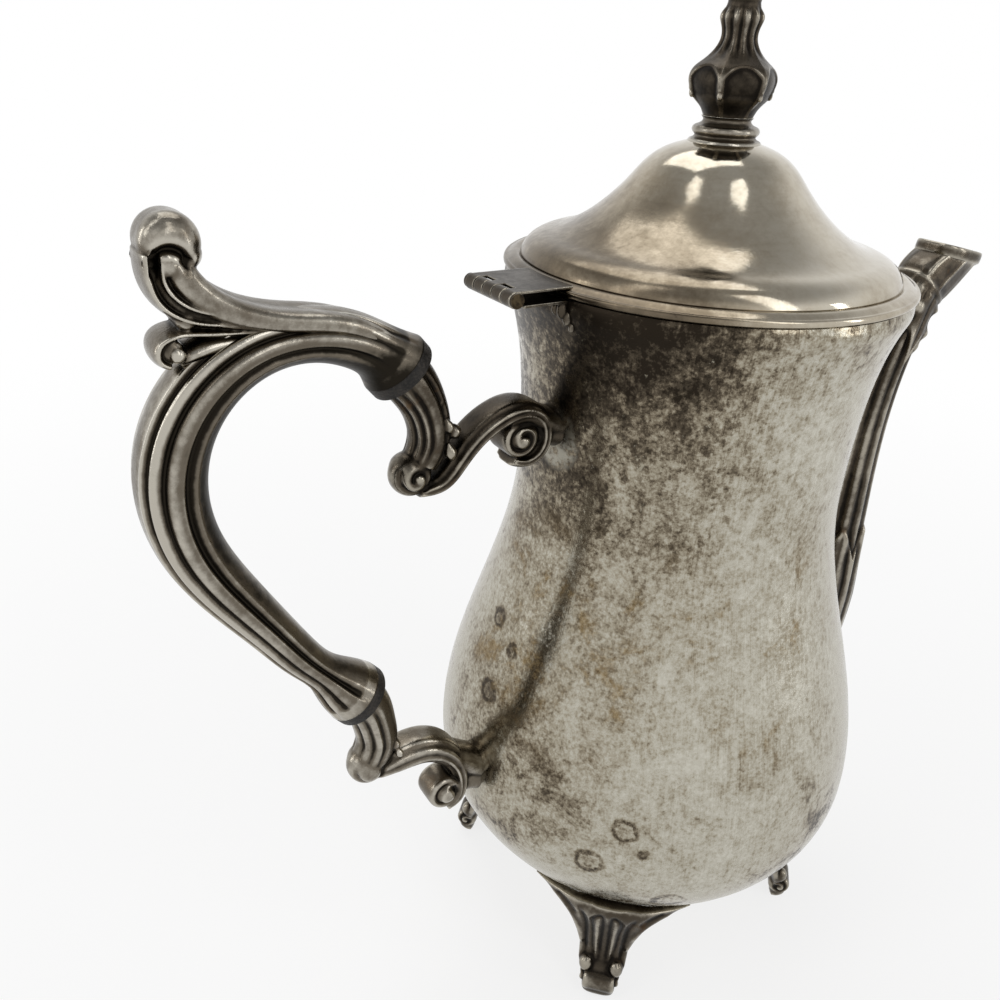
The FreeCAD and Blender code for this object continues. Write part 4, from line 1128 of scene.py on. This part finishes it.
def make_lip(material):
    """The squared band round the spout's mouth, drawn out to a drooping pouring tip."""
    angle = math.radians(MOUTH_ANGLE)
    along = np.array((math.cos(angle), 0, math.sin(angle)))
    across = np.array((-math.sin(angle), 0, math.cos(angle)))
    sideways = np.array((0, 1, 0))
    turn = half_turns(220)[:, None]
    bend = full_turn(36)[None, :]
    reach = 1 + MOUTH_CORNER * np.sin(2 * turn) ** 2
    deep = (MOUTH_DEPTH - LIP_INSET) * reach * np.cos(turn)
    wide = (MOUTH_WIDTH - LIP_INSET) * reach * np.sin(turn)
    beak = np.exp(-((np.abs(turn) - math.pi) / BEAK_ANGLE) ** 2)
    outward = np.stack([np.gradient(wide[:, 0]), -np.gradient(deep[:, 0])], -1)
    outward /= np.linalg.norm(outward, axis=1)[:, None]
    square = squared(bend, 5)
    swell = LIP_SWELL * np.cos(bend) * square * (1 + BEAK_SWELL * beak)
    rise = LIP_LIFT + LIP_HALF * np.sin(bend) * square - BEAK_DROP * beak
    flat = (deep - BEAK_REACH * beak + outward[:, :1] * swell)[..., None] * across
    flat = flat + (wide + outward[:, 1:] * swell)[..., None] * sideways + rise[..., None] * along
    form = Form()
    form.loop(flat + np.array((SPOUT_TIP[0], 0, SPOUT_TIP[1])))
    mesh = form_mesh(form)
    mark_recess(mesh, 14, 0.4)
    place_piece("rolled_lip", mesh, material, "pot", "spout_lip")


# The hinge: piece, body, node, first rolled tongue, side of the pin that the sheet lies on, and its end
HINGE_LEAVES = [("rolled_lid_leaf", "lid", "lid_hinge_leaf", 0, 1, -43.0),
                ("rolled_body_leaf", "pot", "body_hinge_leaf", 1, -1, -44.4)]
HINGE_X, _, HINGE_Z = middle("hinge_pin")
HINGE_WIDTH, HINGE_TONGUES, HINGE_ROLL, HINGE_SHEET = 17.0, 5, 1.65, 0.6
TONGUE_GAP, TONGUE_LAP, SHEET_POINTS = 0.16, 0.25, 50
# Rough solder that holds the lower leaf to the wall: place and size
SOLDER_LUMPS = [(-45.2, -8.0, 182.2, 1.3), (-44.3, -8.7, 180.5, 1.1), (-43.4, -9.2, 178.7, 0.8),
                (-45.6, -6.3, 182.2, 1.0), (-45.4, 7.7, 182.1, 1.3), (-44.2, 8.4, 180.3, 1.1),
                (-45.8, 1.5, 182.0, 1.0)]


def rolled_leaf(first, plate, end):
    """A sheet leaf whose every second tongue is rolled round the pin; plate is 1 above the pin, -1 below."""
    middle_line = HINGE_ROLL - HINGE_SHEET / 2
    turns = np.radians(np.linspace(90, 400, 60))
    tightens = math.radians(300)
    curl = middle_line * np.where(turns > tightens, 1 - 0.03 * (turns - tightens), 1)
    straight = np.stack([np.linspace(end - HINGE_X, 0.3, SHEET_POINTS), np.full(SHEET_POINTS, middle_line)], -1)
    whole = np.concatenate([straight, np.stack([curl * np.cos(turns), curl * np.sin(turns)], -1)])
    form = Form()
    tongue = HINGE_WIDTH / HINGE_TONGUES
    for i in range(HINGE_TONGUES):
        start = -HINGE_WIDTH / 2 + i * tongue
        rolled = i % 2 == first
        path = whole if rolled else straight[straight[:, 0] > HINGE_ROLL - 0.05]
        way = np.gradient(path, axis=0)
        way /= np.linalg.norm(way, axis=1)[:, None]
        sheet = np.stack([-way[:, 1], way[:, 0]], -1) * HINGE_SHEET / 2
        band = np.concatenate([path + sheet, (path - sheet)[::-1]])
        slack = TONGUE_GAP if rolled else -TONGUE_LAP
        sides = np.array((start + slack, start + tongue - slack))[:, None]
        form.band(points_of(HINGE_X + band[:, 0], sides, HINGE_Z + plate * band[:, 1]))
    return form


def make_hinge(material):
    for name, body, node, first, plate, end in HINGE_LEAVES:
        form = rolled_leaf(first, plate, end)
        if body == "pot":
            for x, y, z, size in SOLDER_LUMPS:
                form.ball((x, y, z), (size, size * 0.8, size * 1.4), 16)
        mesh = fused(form, HINGE_VOXEL)
        relax(mesh, 2)
        mark_recess(mesh, 14, 0.13)
        place_piece(name, mesh, material, body, node)


# The lid, as sections of radius and height; the dome's heights count from DOME_LOW, the base's are shares
RIM_SECTION = [(40.4, 186.9), (41.8, 186.85), (42.2, 186.72), (42.5, 186.85), (42.9, 186.98), (43.4, 186.95),
               (44.0, 186.72), (44.55, 186.4), (45.0, 186.12), (45.2, 186.05), (45.45, 186.08), (45.7, 185.95),
               (45.86, 185.65), (45.9, 185.3), (45.84, 184.95), (45.65, 184.68), (45.3, 184.52), (44.8, 184.5),
               (40.4, 184.5)]
DOME_OUTSIDE = [(0.5, 25.05), (4.5, 24.75), (8.2, 23.9), (13.0, 22.0), (16.2, 19.5), (19.2, 15.9), (22.4, 12.3),
                (26.0, 9.0), (30.0, 6.1), (33.0, 4.5), (35.4, 3.65), (37.4, 3.15), (39.0, 2.55), (40.3, 1.75),
                (41.3, 0.7), (41.9, -0.3), (42.2, -1.1)]
DOME_INSIDE = [(41.4, -1.5), (39.6, 0.0), (37.0, 1.4), (34.0, 2.3), (29.4, 4.7), (25.0, 7.7), (21.4, 10.9),
               (18.2, 14.6), (15.2, 18.2), (12.2, 20.6), (7.6, 22.6), (4.0, 23.5), (0.5, 23.8)]
BASE_SHARES = [(7.9, -0.06), (7.5, 0.06), (6.7, 0.14), (6.45, 0.22), (6.75, 0.3), (7.1, 0.4), (7.1, 0.52),
               (6.7, 0.62), (5.9, 0.69), (5.3, 0.77), (5.05, 0.87), (5.3, 0.97), (5.5, 1.02)]
DOME_LOW, BASE_BORE = 188.0, 1.8
BASE_LOW, BASE_HIGH = (corner[2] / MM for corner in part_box("finial_base"))


def make_rim(material):
    """The lid's edge: a fine groove round the dome, a sloping band and the thin rolled edge below it."""
    place_piece("moulded_rim", turned_mesh(RIM_SECTION), material, "lid", "lid_rim")


def make_dome(material):
    """The lid: a bell with a hollow flare that ends in a broad rounded step on the rim."""
    section = np.concatenate([spline(DOME_OUTSIDE, 260), spline(DOME_INSIDE, 120)]) + np.array((0.0, DOME_LOW))
    place_piece("flared_dome", turned_mesh(section), material, "lid", "lid_dome")


def make_base(material):
    """The turned spool under the finial: a skirt on the dome, a ring and a waist."""
    outside = spline([(radius, BASE_LOW + (BASE_HIGH - BASE_LOW) * share) for radius, share in BASE_SHARES], 90)
    mesh = turned_mesh(np.concatenate([outside, [(BASE_BORE, BASE_HIGH), (BASE_BORE, BASE_LOW)]]), 160)
    mark_recess(mesh, 30, 0.3)
    place_piece("turned_base", mesh, material, "lid", "finial_base")


# The scene
LID_NODES = ("lid_rim", "lid_dome", "lid_flange", "finial_base", "lid_hinge_leaf", "finial")

bpy.context.scene.view_settings.view_transform = "Standard"
make_camera()
make_world()
make_floor()
for lamp in LAMPS:
    area_light(*lamp)

body_plate, lid_plate, fibre, brass = body_silver(), lid_silver(), dark_fibre(), dull_brass()
cast = casting("cast_silver", rgb(0.46, 0.43, 0.37), rgb(0.14, 0.12, 0.093), rgb(0.018, 0.015, 0.011), 0.1)
dark_cast = casting("dark_cast_silver", rgb(0.34, 0.31, 0.255), rgb(0.065, 0.053, 0.039),
                    rgb(0.012, 0.01, 0.008), 0.2)
for name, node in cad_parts.items():
    node.data.materials.clear()
    if "insulator" in name:
        node.data.materials.append(fibre)
    elif name.endswith(("stud", "nut", "pin")):
        node.data.materials.append(brass)
    else:
        node.data.materials.append(lid_plate if name in LID_NODES else body_plate)

make_grip(cast)
make_thumb(cast)
# The sockets take different copies of the cast silver: the lower one the brighter, as a painted highlight
make_socket("upper_socket", dark_cast, **UPPER_SOCKET)
make_socket("lower_socket", cast, **LOWER_SOCKET)
make_finial(dark_cast)
make_feet(dark_cast)
make_spout(dark_cast)
make_lip(dark_cast)
make_hinge(dark_cast)
make_rim(lid_plate)
make_dome(lid_plate)
make_base(cast)
